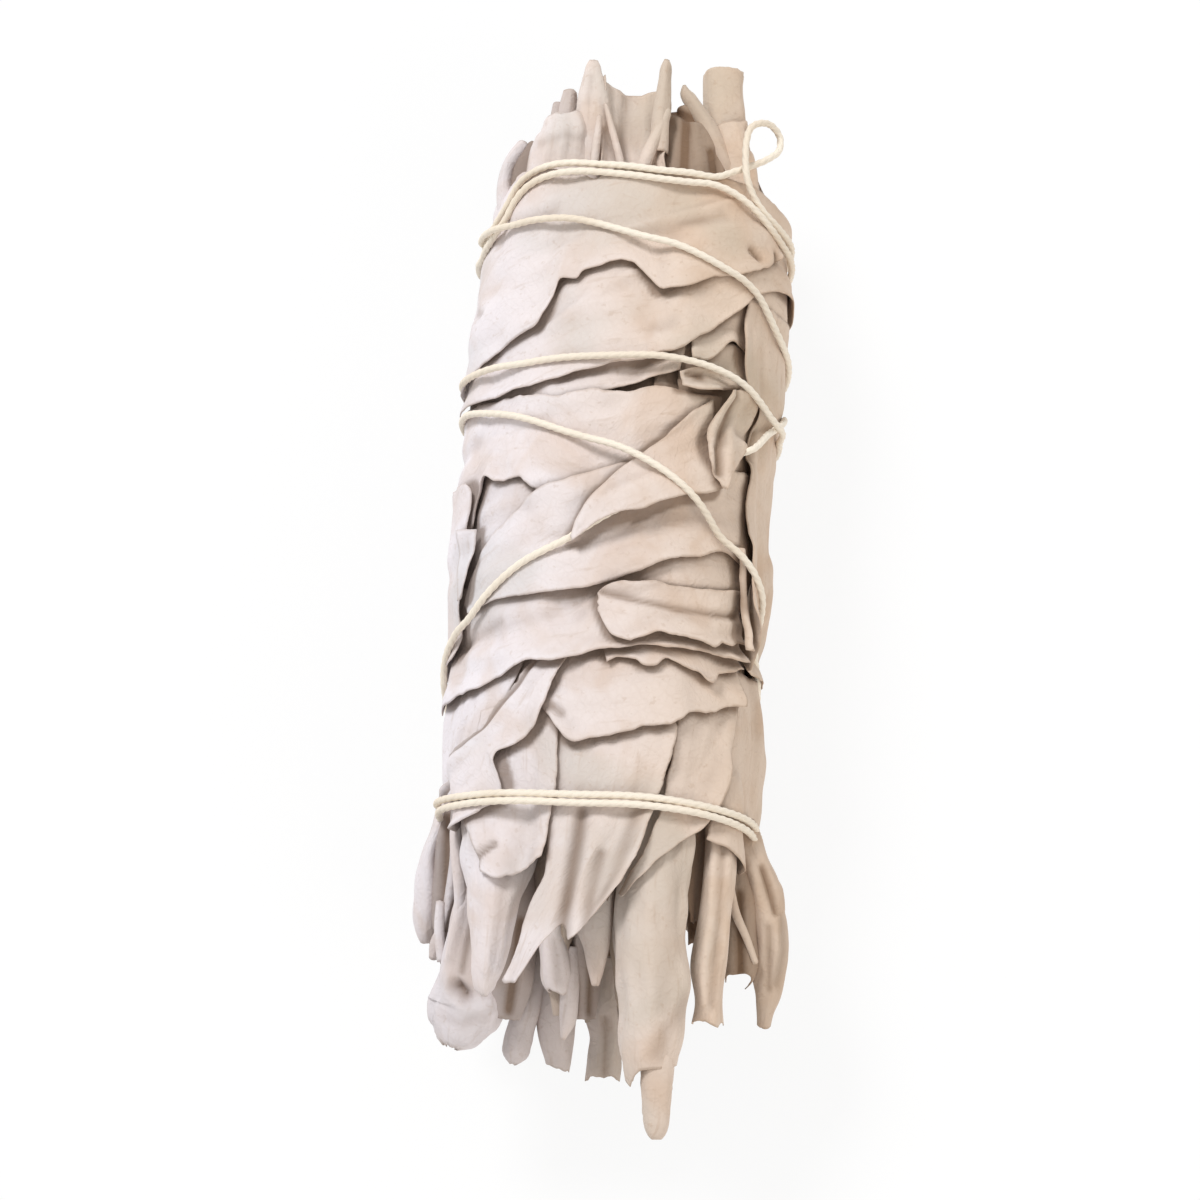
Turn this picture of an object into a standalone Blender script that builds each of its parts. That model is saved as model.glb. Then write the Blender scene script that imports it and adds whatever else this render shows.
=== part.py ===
"""Smudge stick: dried sage leaves gathered round their stems, wrapped in more leaves and bound with string.

The bundle lies on its side. +Y runs along it, from the loose leaf tips to the cut stems, +Z is up, and the
origin is on the surface it lies on, below the middle of its box.

Places on the bundle are written (along, around): millimetres along Y, and degrees round the section from its
top, positive towards +X. A height is the distance outside the envelope of the inner sprigs, so leaves that
lie on each other stack in height.
"""

import math

import bmesh
import bpy
import numpy as np
from mathutils import Vector

MM = 0.001

# Driving dimensions, in millimetres.
LEAF_THICKNESS = 0.4
CLEARANCE = 0.3
STRING_DIAMETER = 0.8
WRAP_DEPTH = 3.1  # from the envelope of the inner sprigs to the outside of the bundle
PRESSED_DEPTH = 0.3  # how much of the resting leaf is pressed flat on the surface
PLATEAU = 1.15  # how far the resting leaf puffs out between two turns of string
FACET_LENGTH = 5.2  # along a leaf
FACET_WIDTH = 4.2  # across a leaf

CENTRING = (0.25, -0.3)  # moves everything so that the origin is below the middle of the box

# The bound bundle's section is a rounded oval, a little flatter underneath.
ROUNDNESS = 0.88  # height over width
UNDERSIDE_POWER = 0.75  # below 1 flattens the underside
# (along, half width over the wrapped leaves, sideways drift of the middle)
OUTLINE = [
    (-60, 13.0, 0.0),
    (-48, 15.4, 0.0),
    (-36, 16.4, 0.0),
    (-28, 16.4, 0.0),
    (-14, 16.2, -0.2),
    (-6, 15.3, -0.5),
    (1, 16.1, -0.5),
    (12, 15.9, -0.4),
    (24, 15.8, 0.0),
    (36, 15.6, 0.4),
    (44, 14.6, 0.4),
    (52, 13.2, 0.3),
    (60, 12.0, 0.0),
]

# Cells of the map of stacked heights.
MAP_START, MAP_END, MAP_STEP = -62.0, 62.0, 0.5
MAP_DEGREES = 2.0
SAMPLES_PER_CELL = 10
SLOPE_ALLOWANCE = 1.3  # how much higher than its thickness a sloping leaf stands

# How the string is laid on the leaves.
STRING_SAMPLES = 5  # for each point of its curve
STRING_SAG = 0.15  # how far its straight facets dip below a round turn
STRING_CLEARANCE = 0.25  # between crossing turns
STRING_SELF_REACH = 8  # samples that count as the same place on it
STRING_LOOSE = 0.5  # from this lift on it stands clear, and what is laid later passes below it
SURFACE_CUTTER = (0.1, 0.2, 0.02)

LEAF_COLOUR = (0.72, 0.64, 0.56, 1.0)
INNER_COLOUR = (0.52, 0.45, 0.35, 1.0)
STRING_COLOUR = (0.90, 0.85, 0.75, 1.0)


def leaf(name, left, right, puff=0.0, flare=0.0, level=False):
    """A leaf as two edges, each a few (along, around) points from its base to its tip.

    puff lifts its middle and flare lifts its tip end, both in millimetres. level holds it at one height, as
    the leaf that the bundle rests on is."""
    return {"name": name, "edges": (left, right), "puff": puff, "flare": flare, "level": level}


# The first layer: long leaves that run the whole length, side by side round the sprigs.
LONG_LEAVES = [
    leaf(
        "long_leaf_top",
        [(50, -17), (20, -28), (-20, -28), (-41, -12)],
        [(51, 8), (20, 28), (-20, 28), (-43, 4)],
    ),
    leaf(
        "long_leaf_right",
        [(43.5, 54), (36, 32), (-20, 32), (-38, 46)],
        [(43.5, 78), (20, 88), (-20, 88), (-37, 66)],
    ),
    leaf(
        "long_leaf_under_right",
        [(49, 98), (20, 92), (-20, 92), (-40, 98)],
        [(48, 130), (20, 148), (-20, 148), (-44, 130)],
    ),
    leaf(
        "long_leaf_under",
        [(47, 160), (20, 152), (-20, 152), (-42, 160)],
        [(48, 196), (20, 208), (-20, 208), (-43, 192)],
    ),
    leaf(
        "long_leaf_under_left",
        [(49, 226), (20, 212), (-20, 212), (-41, 226)],
        [(47, 250), (20, 268), (-20, 268), (-38, 248)],
    ),
    leaf(
        "long_leaf_left",
        [(46, 284), (20, 272), (-20, 272), (-37, 284)],
        [(48, 312), (20, 328), (-20, 328), (-44, 316)],
    ),
]

# Leaves wrapped round the underside and the far sides, each under the next one's edge.
BACK_LEAVES = [
    leaf(
        "back_leaf_upper_right",
        [(40, 92), (41, 122), (40, 148)],
        [(22, 92), (23, 122), (23, 148)],
    ),
    leaf("back_leaf_upper", [(39, 143), (40, 200), (39, 242)], [(21, 143), (18, 200), (20, 242)]),
    leaf(
        "back_leaf_upper_left",
        [(41, 238), (41, 262), (39, 284)],
        [(20, 238), (20, 262), (17, 284)],
    ),
    leaf("back_leaf_middle_right", [(24, 88), (24, 122), (23, 148)], [(1, 88), (1, 122), (2, 157)]),
    leaf(
        "back_leaf_middle_left",
        [(21, 203), (22, 240), (19, 278)],
        [(2, 203), (1, 240), (-1, 278)],
    ),
    leaf(
        "back_leaf_lower_right",
        [(3, 90), (3, 122), (4, 157)],
        [(-19, 90), (-18, 122), (-19, 157)],
    ),
    leaf(
        "back_leaf_lower_left",
        [(4, 203), (3, 240), (1, 270)],
        [(-20, 203), (-20, 240), (-20, 262)],
    ),
    leaf(
        "back_leaf_tip_right",
        [(-17, 94), (-25, 90), (-34, 94), (-42, 104)],
        [(-17, 148), (-25, 148), (-34, 140), (-43, 124)],
        flare=1.0,
    ),
    leaf(
        "back_leaf_tip_middle",
        [(-19, 153), (-27, 153), (-38, 168)],
        [(-19, 204), (-28, 204), (-39, 192)],
    ),
    leaf(
        "back_leaf_tip_left",
        [(-18, 209), (-26, 209), (-35, 220), (-41, 234)],
        [(-19, 250), (-26, 251), (-35, 250), (-40, 244)],
        flare=1.0,
    ),
]

# Leaves on the upper side, from the lowest of the stack up.
WRAP_LEAVES = [
    leaf("top_end_left", [(38, -108), (43, -104), (48, -92)], [(38, -72), (43, -67), (48, -74)]),
    leaf(
        "top_end_lobe",
        [(38.6, -66), (43, -62), (48.4, -54)],
        [(38.6, -26), (43, -27), (49.2, -37)],
        puff=0.4,
    ),
    leaf("top_end_middle", [(39, -19), (45, -20), (51.8, -16)], [(39, 6), (45, 6), (52.5, 8)]),
    leaf("top_end_right", [(38, 54), (43, 55), (47.5, 60)], [(38, 84), (43, 82), (46.5, 74)]),
    leaf(
        "tip_left_roll",
        [(-29, -64), (-34, -62), (-40, -60), (-45.5, -52)],
        [(-29, -44), (-34, -40), (-41, -31), (-45.5, -40)],
        puff=0.8,
    ),
    leaf(
        "tip_stalked",
        [(-24, 16), (-29, 11), (-37, 9), (-43, 10), (-47.5, 17), (-53.5, 20)],
        [(-24, 31), (-29, 30), (-37, 29.5), (-42, 31), (-47, 26), (-53.5, 25)],
        puff=0.6,
    ),
    leaf(
        "tip_right_folded",
        [(-22, 35), (-30, 35), (-37, 35), (-43.3, 33.5)],
        [(-22, 47), (-30, 47), (-37, 46.5), (-43, 44.5)],
        puff=0.5, flare=0.4,
    ),
    leaf(
        "tip_right_outer",
        [(-24, 62), (-30, 58), (-36, 61), (-43, 62)],
        [(-24, 104), (-30, 104), (-37, 96), (-43, 78)],
        flare=3.4,
    ),
    leaf(
        "tip_left_outer",
        [(-22, -108), (-28, -108), (-36, -98)],
        [(-22, -66), (-28, -64), (-36.5, -78)],
        flare=2.6,
    ),
    leaf(
        "side_tip_leaf",
        [(-10, 54), (-15, 52), (-20, 48), (-25, 47), (-29, 62)],
        [(-10, 90), (-15, 92), (-20, 92), (-25, 92), (-29, 88)],
    ),
    leaf(
        "stepped_leaf",
        [(-12, 28), (-19, 27), (-25, 21), (-30, 13)],
        [(-12, 50), (-19, 46), (-24, 38), (-27, 30)],
    ),
    leaf(
        "left_flank_leaf",
        [(-9, -96), (-17, -98), (-24, -94)],
        [(-10.5, -38), (-16.5, -52), (-22, -76)],
    ),
    leaf(
        "centre_tip_leaf",
        [(-12, -14), (-18, -16), (-27, -16), (-34, -21), (-39.6, -26)],
        [(-12, 22), (-18, 21), (-26, 12), (-33, 3), (-36.5, 0)],
        flare=0.4,
    ),
    leaf(
        "left_tongue_leaf",
        [(-10.5, -36), (-17, -54), (-26, -50), (-34, -44), (-41.5, -37)],
        [(-10.5, -18), (-17, -20), (-27, -20), (-33, -31), (-41.5, -33.5)],
        flare=0.4,
    ),
    leaf(
        "lower_band_leaf",
        [(-9.6, -13), (-9, 8), (-8.6, 30), (-8.4, 52)],
        [(-17.4, -9), (-16.4, 12), (-14.2, 31), (-13, 50)],
    ),
    leaf("right_wrap_leaf", [(33, 32), (32, 56), (31, 84)], [(18, 32), (17, 50), (16, 84)]),
    leaf("grey_leaf", [(17, -12), (17, 8), (16.6, 29)], [(9, -4), (9, 10), (11, 29)]),
    leaf(
        "left_wrap_leaf",
        [(20, -84), (20.4, -50), (20.6, -16)],
        [(15, -84), (14, -50), (13.4, -16)],
    ),
    leaf(
        "side_leaf",
        [(14.6, 60), (8, 57), (1, 58), (-7, 66)],
        [(14.6, 88), (8, 90), (1, 90), (-7, 88)],
    ),
    leaf(
        "long_band_leaf",
        [(-4, -88), (-3, -58), (-2.4, -28), (-2, 4), (-1.8, 50)],
        [(-12.2, -86), (-11.6, -56), (-9.8, -28), (-8.4, 4), (-7.6, 50)],
    ),
    leaf(
        "slanting_leaf",
        [(-3, -58), (0, -34), (3.6, -8), (6, 22), (6.6, 52)],
        [(-4.4, -58), (-3.6, -28), (-1, -4), (1, 22), (1.4, 52)],
    ),
    leaf(
        "lobed_leaf",
        [(-2.8, -2), (-2.4, 14), (-2.4, 30), (-2.6, 50)],
        [(-6.6, 2), (-6.8, 17), (-6.9, 32), (-6.5, 50)],
    ),
    leaf(
        "pale_leaf",
        [(16, -82), (14.6, -50), (13, -24), (10.6, -4)],
        [(-1, -78), (2, -50), (4.6, -24), (6, -8)],
    ),
    leaf(
        "diagonal_leaf",
        [(24, -82), (26.4, -36), (31, -4), (31, 26), (34, 76)],
        [(18.6, -82), (18.4, -33), (19.4, -1), (22.6, 28), (30, 76)],
    ),
    leaf(
        "torn_leaf",
        [(40.6, -100), (42, -50), (42.4, 0), (42.2, 46), (40.6, 88)],
        [(22.6, -78), (25, -38), (29.6, -4), (29, 30), (33, 80)],
    ),
]

# These lie over the turn of string that slips under them.
COVER_LEAVES = [
    leaf(
        "cover_leaf",
        [(4, -18), (7.6, -6), (12.4, 10), (16, 28)],
        [(2.8, -16), (4.4, -4), (6, 10), (7.6, 28)],
    ),
    leaf("cover_fold", [(17, 32), (13, 31), (8.6, 34)], [(17, 48), (13, 44), (8.4, 39)]),
]

RESTING_LEAF = leaf(
    "resting_leaf",
    [(15.5, 158), (0, 152), (-15.5, 158)],
    [(15.5, 202), (0, 208), (-15.5, 202)],
    level=True,
)

# The string is one length, always wound the same way round: (along, around), with around growing past a full
# turn. A third number lifts it off the leaves there. First comes a turn near the tips, then it climbs round
# the back.
STRING_TO_LEAF = [
    (-20.6, -120), (-21.8, -90), (-22.3, -60), (-22, -30), (-21.8, 0), (-22.2, 30), (-22.8, 50),
    (-23.8, 76), (-24.6, 100), (-25, 130), (-25, 200), (-24.8, 240), (-24.2, 270), (-23.6, 300),
    (-23.2, 330), (-23, 360), (-23.4, 390), (-24, 410), (-25.2, 436), (-26, 460), (-26.6, 500),
    (-26.8, 550), (-26.2, 570), (-24, 588), (-19, 606), (-12.6, 622), (-7.8, 638), (-5.9, 650),
    (-4.7, 662), (-2.7, 674), (0, 690), (1.5, 700), (2.6, 706),
]  # fmt: skip
STRING_UNDER_LEAF = [(2.6, 706), (3.4, 710), (4.8, 722), (6.2, 736), (8, 752), (10.4, 764), (12.4, 773)]
# It climbs on, and goes twice round below the stems, with a small slack loop in the first of those turns.
STRING_TO_STEMS = [
    (12.4, 773), (14.4, 781), (17.2, 796), (20, 814), (22.2, 834), (24.4, 854), (27, 880),
    (29.6, 908), (32, 938), (33.8, 965), (35.2, 990), (36.6, 1008), (38.4, 1020), (40.5, 1026.7),
    (41.4, 1035.4), (41.7, 1043.4), (41.7, 1053.4), (41.4, 1064), (41.2, 1076), (41.1, 1088),
    (41.2, 1100.5), (41.4, 1112.8), (42.3, 1119.8, 0.3), (43.4, 1126.6, 1.2), (44.9, 1133, 2),
    (46.4, 1137.4, 2.4), (47.5, 1137.2, 2.4), (47.9, 1133, 2.4), (47.7, 1127, 2.3), (46.8, 1121.6, 2),
    (45.4, 1120.6, 1.8), (43.9, 1121.6, 1.6), (42.8, 1122.8, 1.4), (41.8, 1124, 1), (41, 1126, 0.5),
    (40, 1129.6, 0.2), (38.9, 1135), (38.2, 1143), (37.8, 1162),
]  # fmt: skip
# Then it comes down in long slanting turns, over the ones before, to the turns near the tips.
STRING_TO_END = [
    (37.8, 1162), (37.8, 1190), (37.6, 1225), (37.2, 1260), (36.4, 1300), (35.2, 1335), (34.7, 1350),
    (34.9, 1365), (35.7, 1375), (36.8, 1382), (38.5, 1387), (39.5, 1391.4), (40, 1397), (40.4, 1405.5),
    (40.5, 1415), (40.2, 1424), (40, 1436), (39.9, 1448), (40, 1460.5), (40.2, 1470), (40, 1477),
    (39.3, 1484), (38.3, 1491), (37.3, 1498), (36.6, 1505), (36.2, 1517), (36, 1540), (35.6, 1580),
    (35.6, 1620), (36, 1655), (36.6, 1690), (36.6, 1710), (36.2, 1726), (35.9, 1738), (35.9, 1749),
    (35.8, 1762), (35.5, 1775), (34.8, 1785), (34, 1794), (33.1, 1804), (32.4, 1815), (31.7, 1823),
    (30.9, 1832), (30.2, 1841), (29.2, 1849), (27.8, 1857), (26.2, 1868), (24.8, 1885),
    (23.6, 1915), (22.8, 1950), (22.4, 1990), (21.8, 2040), (21, 2075), (20.6, 2094), (20.7, 2108),
    (20.6, 2121), (20.7, 2133), (20.7, 2160), (20.8, 2173), (20.7, 2181), (20.5, 2189), (20.1, 2197),
    (19.4, 2206), (18.3, 2215), (17.2, 2228), (16.7, 2250), (16.6, 2300), (16.7, 2350), (17, 2400),
    (17.2, 2430), (17, 2448), (16.3, 2462), (15.5, 2475), (14.6, 2486), (13.6, 2496), (12.3, 2509.5),
    (11.1, 2521), (9.6, 2531), (8, 2540), (6.5, 2547), (5.1, 2553), (3.8, 2559), (2.6, 2567),
    (0.8, 2576), (-2, 2588), (-6, 2602), (-10.5, 2618), (-15, 2638), (-19, 2662), (-21.4, 2690),
    (-22.6, 2715),
]  # fmt: skip
STRING_POINT_SPACING = 4.4
TURN = 360.0

# The inner sprigs, rolled leaves round a stem: (along, sideways, up from the middle of the section, radius).
SPRIGS = {
    "sprig_middle": [
        (-46, 1.8, -0.8, 1.2), (-38, 0, 0, 2.6), (-24, 0, 0, 3.6), (20, 0, 0, 3.6), (40, 0, 0, 2.8),
        (47, 0.4, 0, 1.8),
    ],
    "sprig_upper_right": [
        (-43, 3.9, 4.2, 1.2), (-36, 3.7, 5.6, 2.4), (-24, 3.8, 6.6, 3.6), (28, 3.8, 6.6, 3.6),
        (38, 3.7, 5.4, 2.5), (42, 4.6, 4.8, 1.9), (46, 6.2, 5.6, 1.8), (49, 7.4, 6.0, 2.1),
        (54, 8.0, 6.2, 2.1),
    ],
    "sprig_right": [
        (-42, 7, -0.6, 1.6), (-36, 6.8, 0, 2.4), (-24, 7.6, 0, 3.6), (28, 7.6, 0, 3.6),
        (42, 6.2, -0.4, 2.4), (48.6, 6.2, -0.8, 1.7),
    ],
    "sprig_lower_right": [
        (-44, 3.2, -4.6, 1.5), (-36, 3.6, -5.4, 2.4), (-24, 3.8, -6.6, 3.6), (28, 3.8, -6.6, 3.6),
        (43, 3.0, -4.6, 2.3), (50, 2.8, -4.6, 1.6),
    ],
    "sprig_lower_left": [
        (-42, -3.0, -4.8, 1.6), (-36, -3.6, -5.4, 2.4), (-24, -3.8, -6.6, 3.6),
        (28, -3.8, -6.6, 3.6), (43, -3.0, -4.6, 2.3), (48, -2.8, -4.4, 1.7),
    ],
    "sprig_left": [
        (-47.5, -6.8, -0.4, 1.2), (-36, -6.8, 0, 2.4), (-24, -7.6, 0, 3.6), (28, -7.6, 0, 3.6),
        (42, -6.2, 0, 2.4), (47.5, -6.0, 0.6, 1.6),
    ],
    "sprig_upper_left": [
        (-47, -2.0, 3.2, 1.1), (-36, -3.4, 5.4, 2.3), (-24, -3.8, 6.6, 3.6), (28, -3.8, 6.6, 3.6),
        (42, -4.0, 5.0, 2.2), (50, -5.2, 6.0, 1.7), (54, -5.4, 6.6, 0.9),
    ],
}  # fmt: skip
SPRIG_GAP = 0.15  # taken off each sprig's radius
# Narrow rolled leaves that show between the hanging tips: (along, sideways, up, radius), as the sprigs.
ROLLED_LEAVES = {
    "rolled_leaf_middle": [(-34.5, -2.6, 9.4, 0.7), (-38, -3.0, 9.4, 1.2), (-42.4, -2.2, 8.4, 0.9)],
    "rolled_leaf_left": [(-31.6, -14.6, 2.8, 0.55), (-34.5, -14.5, 2.6, 0.7), (-37.6, -14.0, 2.2, 0.7)],
}  # fmt: skip


def along_table(column):
    places = [row[0] for row in OUTLINE]
    values = [row[column] for row in OUTLINE]
    return lambda along: np.interp(along, places, values)


outside_half_width = along_table(1)
drift = along_table(2)


def half_width(along):
    return outside_half_width(along) - WRAP_DEPTH


def half_height(along):
    return ROUNDNESS * outside_half_width(along) - WRAP_DEPTH


def on_bundle(along, around, height, rise):
    """The point, in millimetres, at a height over the inner envelope, which rise lifts off the surface."""
    angle = np.radians(around)
    up = np.cos(angle)
    up = np.where(up < 0, -(np.abs(up) ** UNDERSIDE_POWER), up)
    across = drift(along) + (half_width(along) + height) * np.sin(angle)
    upward = half_height(0.0) + rise + (half_height(along) + height) * up
    return np.stack([across + CENTRING[0], along + CENTRING[1] + 0 * across, upward], axis=-1)


def travelled(points):
    """How far along the unrolled surface each of a line's points is from its first, in millimetres."""
    steps = np.diff(points, axis=0) * [1.0, math.radians(outside_half_width(0.0))]
    return np.concatenate([[0.0], np.cumsum(np.hypot(*steps.T))])


def along_edge(points, share):
    """The places at these shares, 0 to 1, of an edge's own length."""
    points = np.array(points, float)
    reached = travelled(points)
    return np.stack([np.interp(share * reached[-1], reached, points[:, k]) for k in (0, 1)], axis=-1)


def leaf_places(spec, rows, columns):
    """(rows + 1, columns + 1, 2) places: straight lines across, from the left edge to the right one."""
    share = np.linspace(0, 1, rows + 1)
    left, right = (along_edge(edge, share) for edge in spec["edges"])
    across = np.linspace(0, 1, columns + 1)[None, :, None]
    return left[:, None] * (1 - across) + right[:, None] * across


def facets(spec):
    """How many facets a leaf has along and across."""
    places = leaf_places(spec, 8, 8)
    length = max(travelled(places[:, j])[-1] for j in (0, 4, 8))
    width = max(travelled(places[i])[-1] for i in (0, 2, 4, 6, 8))
    return math.ceil(length / FACET_LENGTH), max(2, math.ceil(width / FACET_WIDTH))


class HeightMap:
    """The height of what is stacked so far, over the unrolled bundle."""

    def __init__(self):
        self.top = np.zeros((int((MAP_END - MAP_START) / MAP_STEP) + 1, int(TURN / MAP_DEGREES)))

    def cells(self, places):
        row = np.rint((places[..., 0] - MAP_START) / MAP_STEP).astype(int)
        column = np.rint(places[..., 1] / MAP_DEGREES).astype(int) % self.top.shape[1]
        return np.clip(row, 1, self.top.shape[0] - 2), column

    def read(self, places):
        return self.top[self.cells(places)]

    def raise_to(self, places, height):
        """Raises the cells at these places and beside them."""
        rows, columns = self.cells(places)
        for row_shift in (-1, 0, 1):
            for column_shift in (-1, 0, 1):
                where = (rows + row_shift, (columns + column_shift) % self.top.shape[1])
                np.maximum.at(self.top, where, height)


def largest_at_corners(fine, rows, columns):
    """For each corner of a coarse grid, the largest fine value in the cells that meet there."""
    cells = fine[:-1, :-1].reshape(rows, SAMPLES_PER_CELL, columns, SAMPLES_PER_CELL).max(axis=(1, 3))
    padded = np.pad(cells, 1, mode="edge")
    return np.max([padded[a : a + rows + 1, b : b + columns + 1] for a in (0, 1) for b in (0, 1)], axis=0)


def refined(values, rows, columns):
    """A coarse grid's values at SAMPLES_PER_CELL steps a cell, by straight lines between its corners."""
    fine_rows = np.linspace(0, rows, rows * SAMPLES_PER_CELL + 1)
    fine_columns = np.linspace(0, columns, columns * SAMPLES_PER_CELL + 1)
    by_rows = np.array([np.interp(fine_rows, range(rows + 1), values[:, j]) for j in range(columns + 1)]).T
    return np.array([np.interp(fine_columns, range(columns + 1), line) for line in by_rows])


def middle_share(rows, columns):
    """1 over the middle of a leaf, falling to 0 along all four edges."""
    along = np.minimum(np.linspace(0, 1, rows + 1), np.linspace(1, 0, rows + 1))
    across = np.minimum(np.linspace(0, 1, columns + 1), np.linspace(1, 0, columns + 1))
    return np.clip(along / 0.2, 0, 1)[:, None] * np.clip(across / 0.2, 0, 1)[None, :]


def settle(spec, stack):
    """Lays a leaf on the stack and returns its grid's places and the height of its inner face at each."""
    rows, columns = facets(spec)
    places = leaf_places(spec, rows, columns)
    fine = np.stack([refined(places[..., k], rows, columns) for k in (0, 1)], axis=-1)
    height = largest_at_corners(stack.read(fine), rows, columns) + CLEARANCE
    # A flat facet dips below the curve between its corners, so the corners stand that much higher.
    step = max(np.abs(np.diff(places[..., 1], axis=0)).max(), np.abs(np.diff(places[..., 1], axis=1)).max())
    height += half_width(0.0) * (1 / math.cos(math.radians(step / 2)) - 1)
    middle = middle_share(rows, columns)
    if spec["level"]:
        level = height.max() + PLATEAU + half_height(0.0) - half_height(places[..., 0])
        height += (level - height) * middle
    height += spec["puff"] * middle
    height += spec["flare"] * np.linspace(0, 1, rows + 1)[:, None] ** 2
    stack.raise_to(fine, refined(height, rows, columns) + LEAF_THICKNESS * SLOPE_ALLOWANCE)
    return places, height


def new_material(name, colour, roughness):
    made = bpy.data.materials.new(name)
    made.use_nodes = True
    shader = made.node_tree.nodes["Principled BSDF"]
    shader.inputs["Base Color"].default_value = colour
    shader.inputs["Roughness"].default_value = roughness
    shader.inputs["Metallic"].default_value = 0.0
    return made


def add_object(name, data, material, collection):
    made = bpy.data.objects.new(name, data)
    data.materials.append(material)
    collection.objects.link(made)
    return made


def add_leaf(name, places, height, rise, material, collection):
    """A flat grid bent onto the bundle, thickened outwards."""
    rows, columns = places.shape[0] - 1, places.shape[1] - 1
    points = on_bundle(places[..., 0], places[..., 1], height, rise) * MM
    grid = bmesh.new()
    bmesh.ops.create_grid(grid, x_segments=rows, y_segments=columns, size=0.5)
    for vertex in grid.verts:
        row = round((vertex.co.x + 0.5) * rows)
        column = round((vertex.co.y + 0.5) * columns)
        vertex.co = Vector(points[row, column])
    grid.normal_update()
    middle = Vector((0, 0, half_height(0.0) * MM))
    outward = 0.0
    for face in grid.faces:
        ray = face.calc_center_median() - middle
        outward += face.normal.dot(Vector((ray.x, 0, ray.z))) * face.calc_area()
    if outward < 0:
        bmesh.ops.reverse_faces(grid, faces=grid.faces)
    mesh = bpy.data.meshes.new(name)
    grid.to_mesh(mesh)
    grid.free()
    mesh.shade_smooth()
    made = add_object(name, mesh, material, collection)
    thicken = made.modifiers.new("thickness", "SOLIDIFY")
    thicken.thickness = LEAF_THICKNESS * MM
    thicken.offset = 1.0
    return made


def press_flat(made, collection):
    """Takes off what would be pressed below the surface that the bundle lies on."""
    bpy.ops.mesh.primitive_cube_add(size=1.0, location=(0, 0, -SURFACE_CUTTER[2] / 2))
    cutter = bpy.context.active_object
    cutter.name = "surface_cutter"
    cutter.scale = SURFACE_CUTTER
    bpy.ops.object.transform_apply(location=False, rotation=False, scale=True)
    for old in list(cutter.users_collection):
        old.objects.unlink(cutter)
    collection.objects.link(cutter)
    cutter.hide_render = True
    cutter.display_type = "WIRE"
    press = made.modifiers.new("pressed flat", "BOOLEAN")
    press.operation = "DIFFERENCE"
    press.object = cutter


def add_rod(name, waypoints, material, collection):
    """A round rod through (x, y, z, radius) points, in millimetres."""
    curve = bpy.data.curves.new(name, "CURVE")
    curve.dimensions = "3D"
    curve.bevel_depth = MM
    curve.bevel_resolution = 2
    curve.use_fill_caps = True
    line = curve.splines.new("POLY")
    line.points.add(len(waypoints) - 1)
    for point, (x, y, z, radius) in zip(line.points, waypoints):
        point.co = (x * MM, y * MM, z * MM, 1.0)
        point.radius = radius
    return add_object(name, curve, material, collection)


def add_rolled(name, waypoints, rise, material, collection):
    """A sprig or a rolled leaf, as a rod that swells and tapers."""
    middle = half_height(0.0) + rise
    route = [
        (x + float(drift(y)) + CENTRING[0], y + CENTRING[1], up + middle, radius - SPRIG_GAP)
        for y, x, up, radius in waypoints
    ]
    return add_rod(name, route, material, collection)


def smooth_route(points, spacing):
    """Places evenly spaced along a smooth curve through the route's points."""
    points = np.array([(*point, 0.0)[:3] for point in points])
    reached = travelled(points[:, :2])
    slopes = np.gradient(points, reached, axis=0)
    at = np.linspace(0, reached[-1], round(reached[-1] / spacing) + 1)
    span = np.clip(np.searchsorted(reached, at, side="right") - 1, 0, len(points) - 2)
    length = (reached[span + 1] - reached[span])[:, None]
    t = (at - reached[span])[:, None] / length
    return (
        (2 * t**3 - 3 * t**2 + 1) * points[span]
        + (t**3 - 2 * t**2 + t) * length * slopes[span]
        + (3 * t**2 - 2 * t**3) * points[span + 1]
        + (t**3 - t**2) * length * slopes[span + 1]
    )


def apart(place, others):
    """Distances, in millimetres over the unrolled surface, from one place to others."""
    along, around = (place - others)[:, :2].T
    around = (around + TURN / 2) % TURN - TURN / 2
    return np.hypot(along, around * math.radians(outside_half_width(0.0)))


class StringLayer:
    """Lays the string along its route, over the leaves and over the turns laid before."""

    def __init__(self):
        self.places = np.zeros((0, 3))
        self.heights = np.zeros(0)

    def lay(self, route, stack):
        """The places and heights of the string's middle along a part of its route."""
        finely = smooth_route(route, STRING_POINT_SPACING / STRING_SAMPLES)
        middle = stack.read(finely) + CLEARANCE + STRING_DIAMETER / 2 + STRING_SAG + finely[:, 2]
        pitch = STRING_DIAMETER + STRING_CLEARANCE
        for i, place in enumerate(finely):
            earlier = max(0, i - STRING_SELF_REACH)
            before = self.places[: len(self.places) + min(0, i - STRING_SELF_REACH)]
            laid = np.concatenate([before, finely[:earlier]])
            heights = np.concatenate([self.heights, middle])[: len(laid)]
            close = (apart(place, laid) < pitch) & (laid[:, 2] < STRING_LOOSE)
            if close.any():
                middle[i] = max(middle[i], heights[close].max() + pitch)
        reach = STRING_SAMPLES
        middle = np.array([middle[max(0, i - reach) : i + reach + 1].max() for i in range(len(middle))])
        self.places = np.concatenate([self.places, finely])
        self.heights = np.concatenate([self.heights, middle])
        last = len(finely) - 1
        kept = np.unique(np.rint(np.linspace(0, last, round(last / STRING_SAMPLES) + 1)).astype(int))
        return finely[kept], middle[kept]


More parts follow.
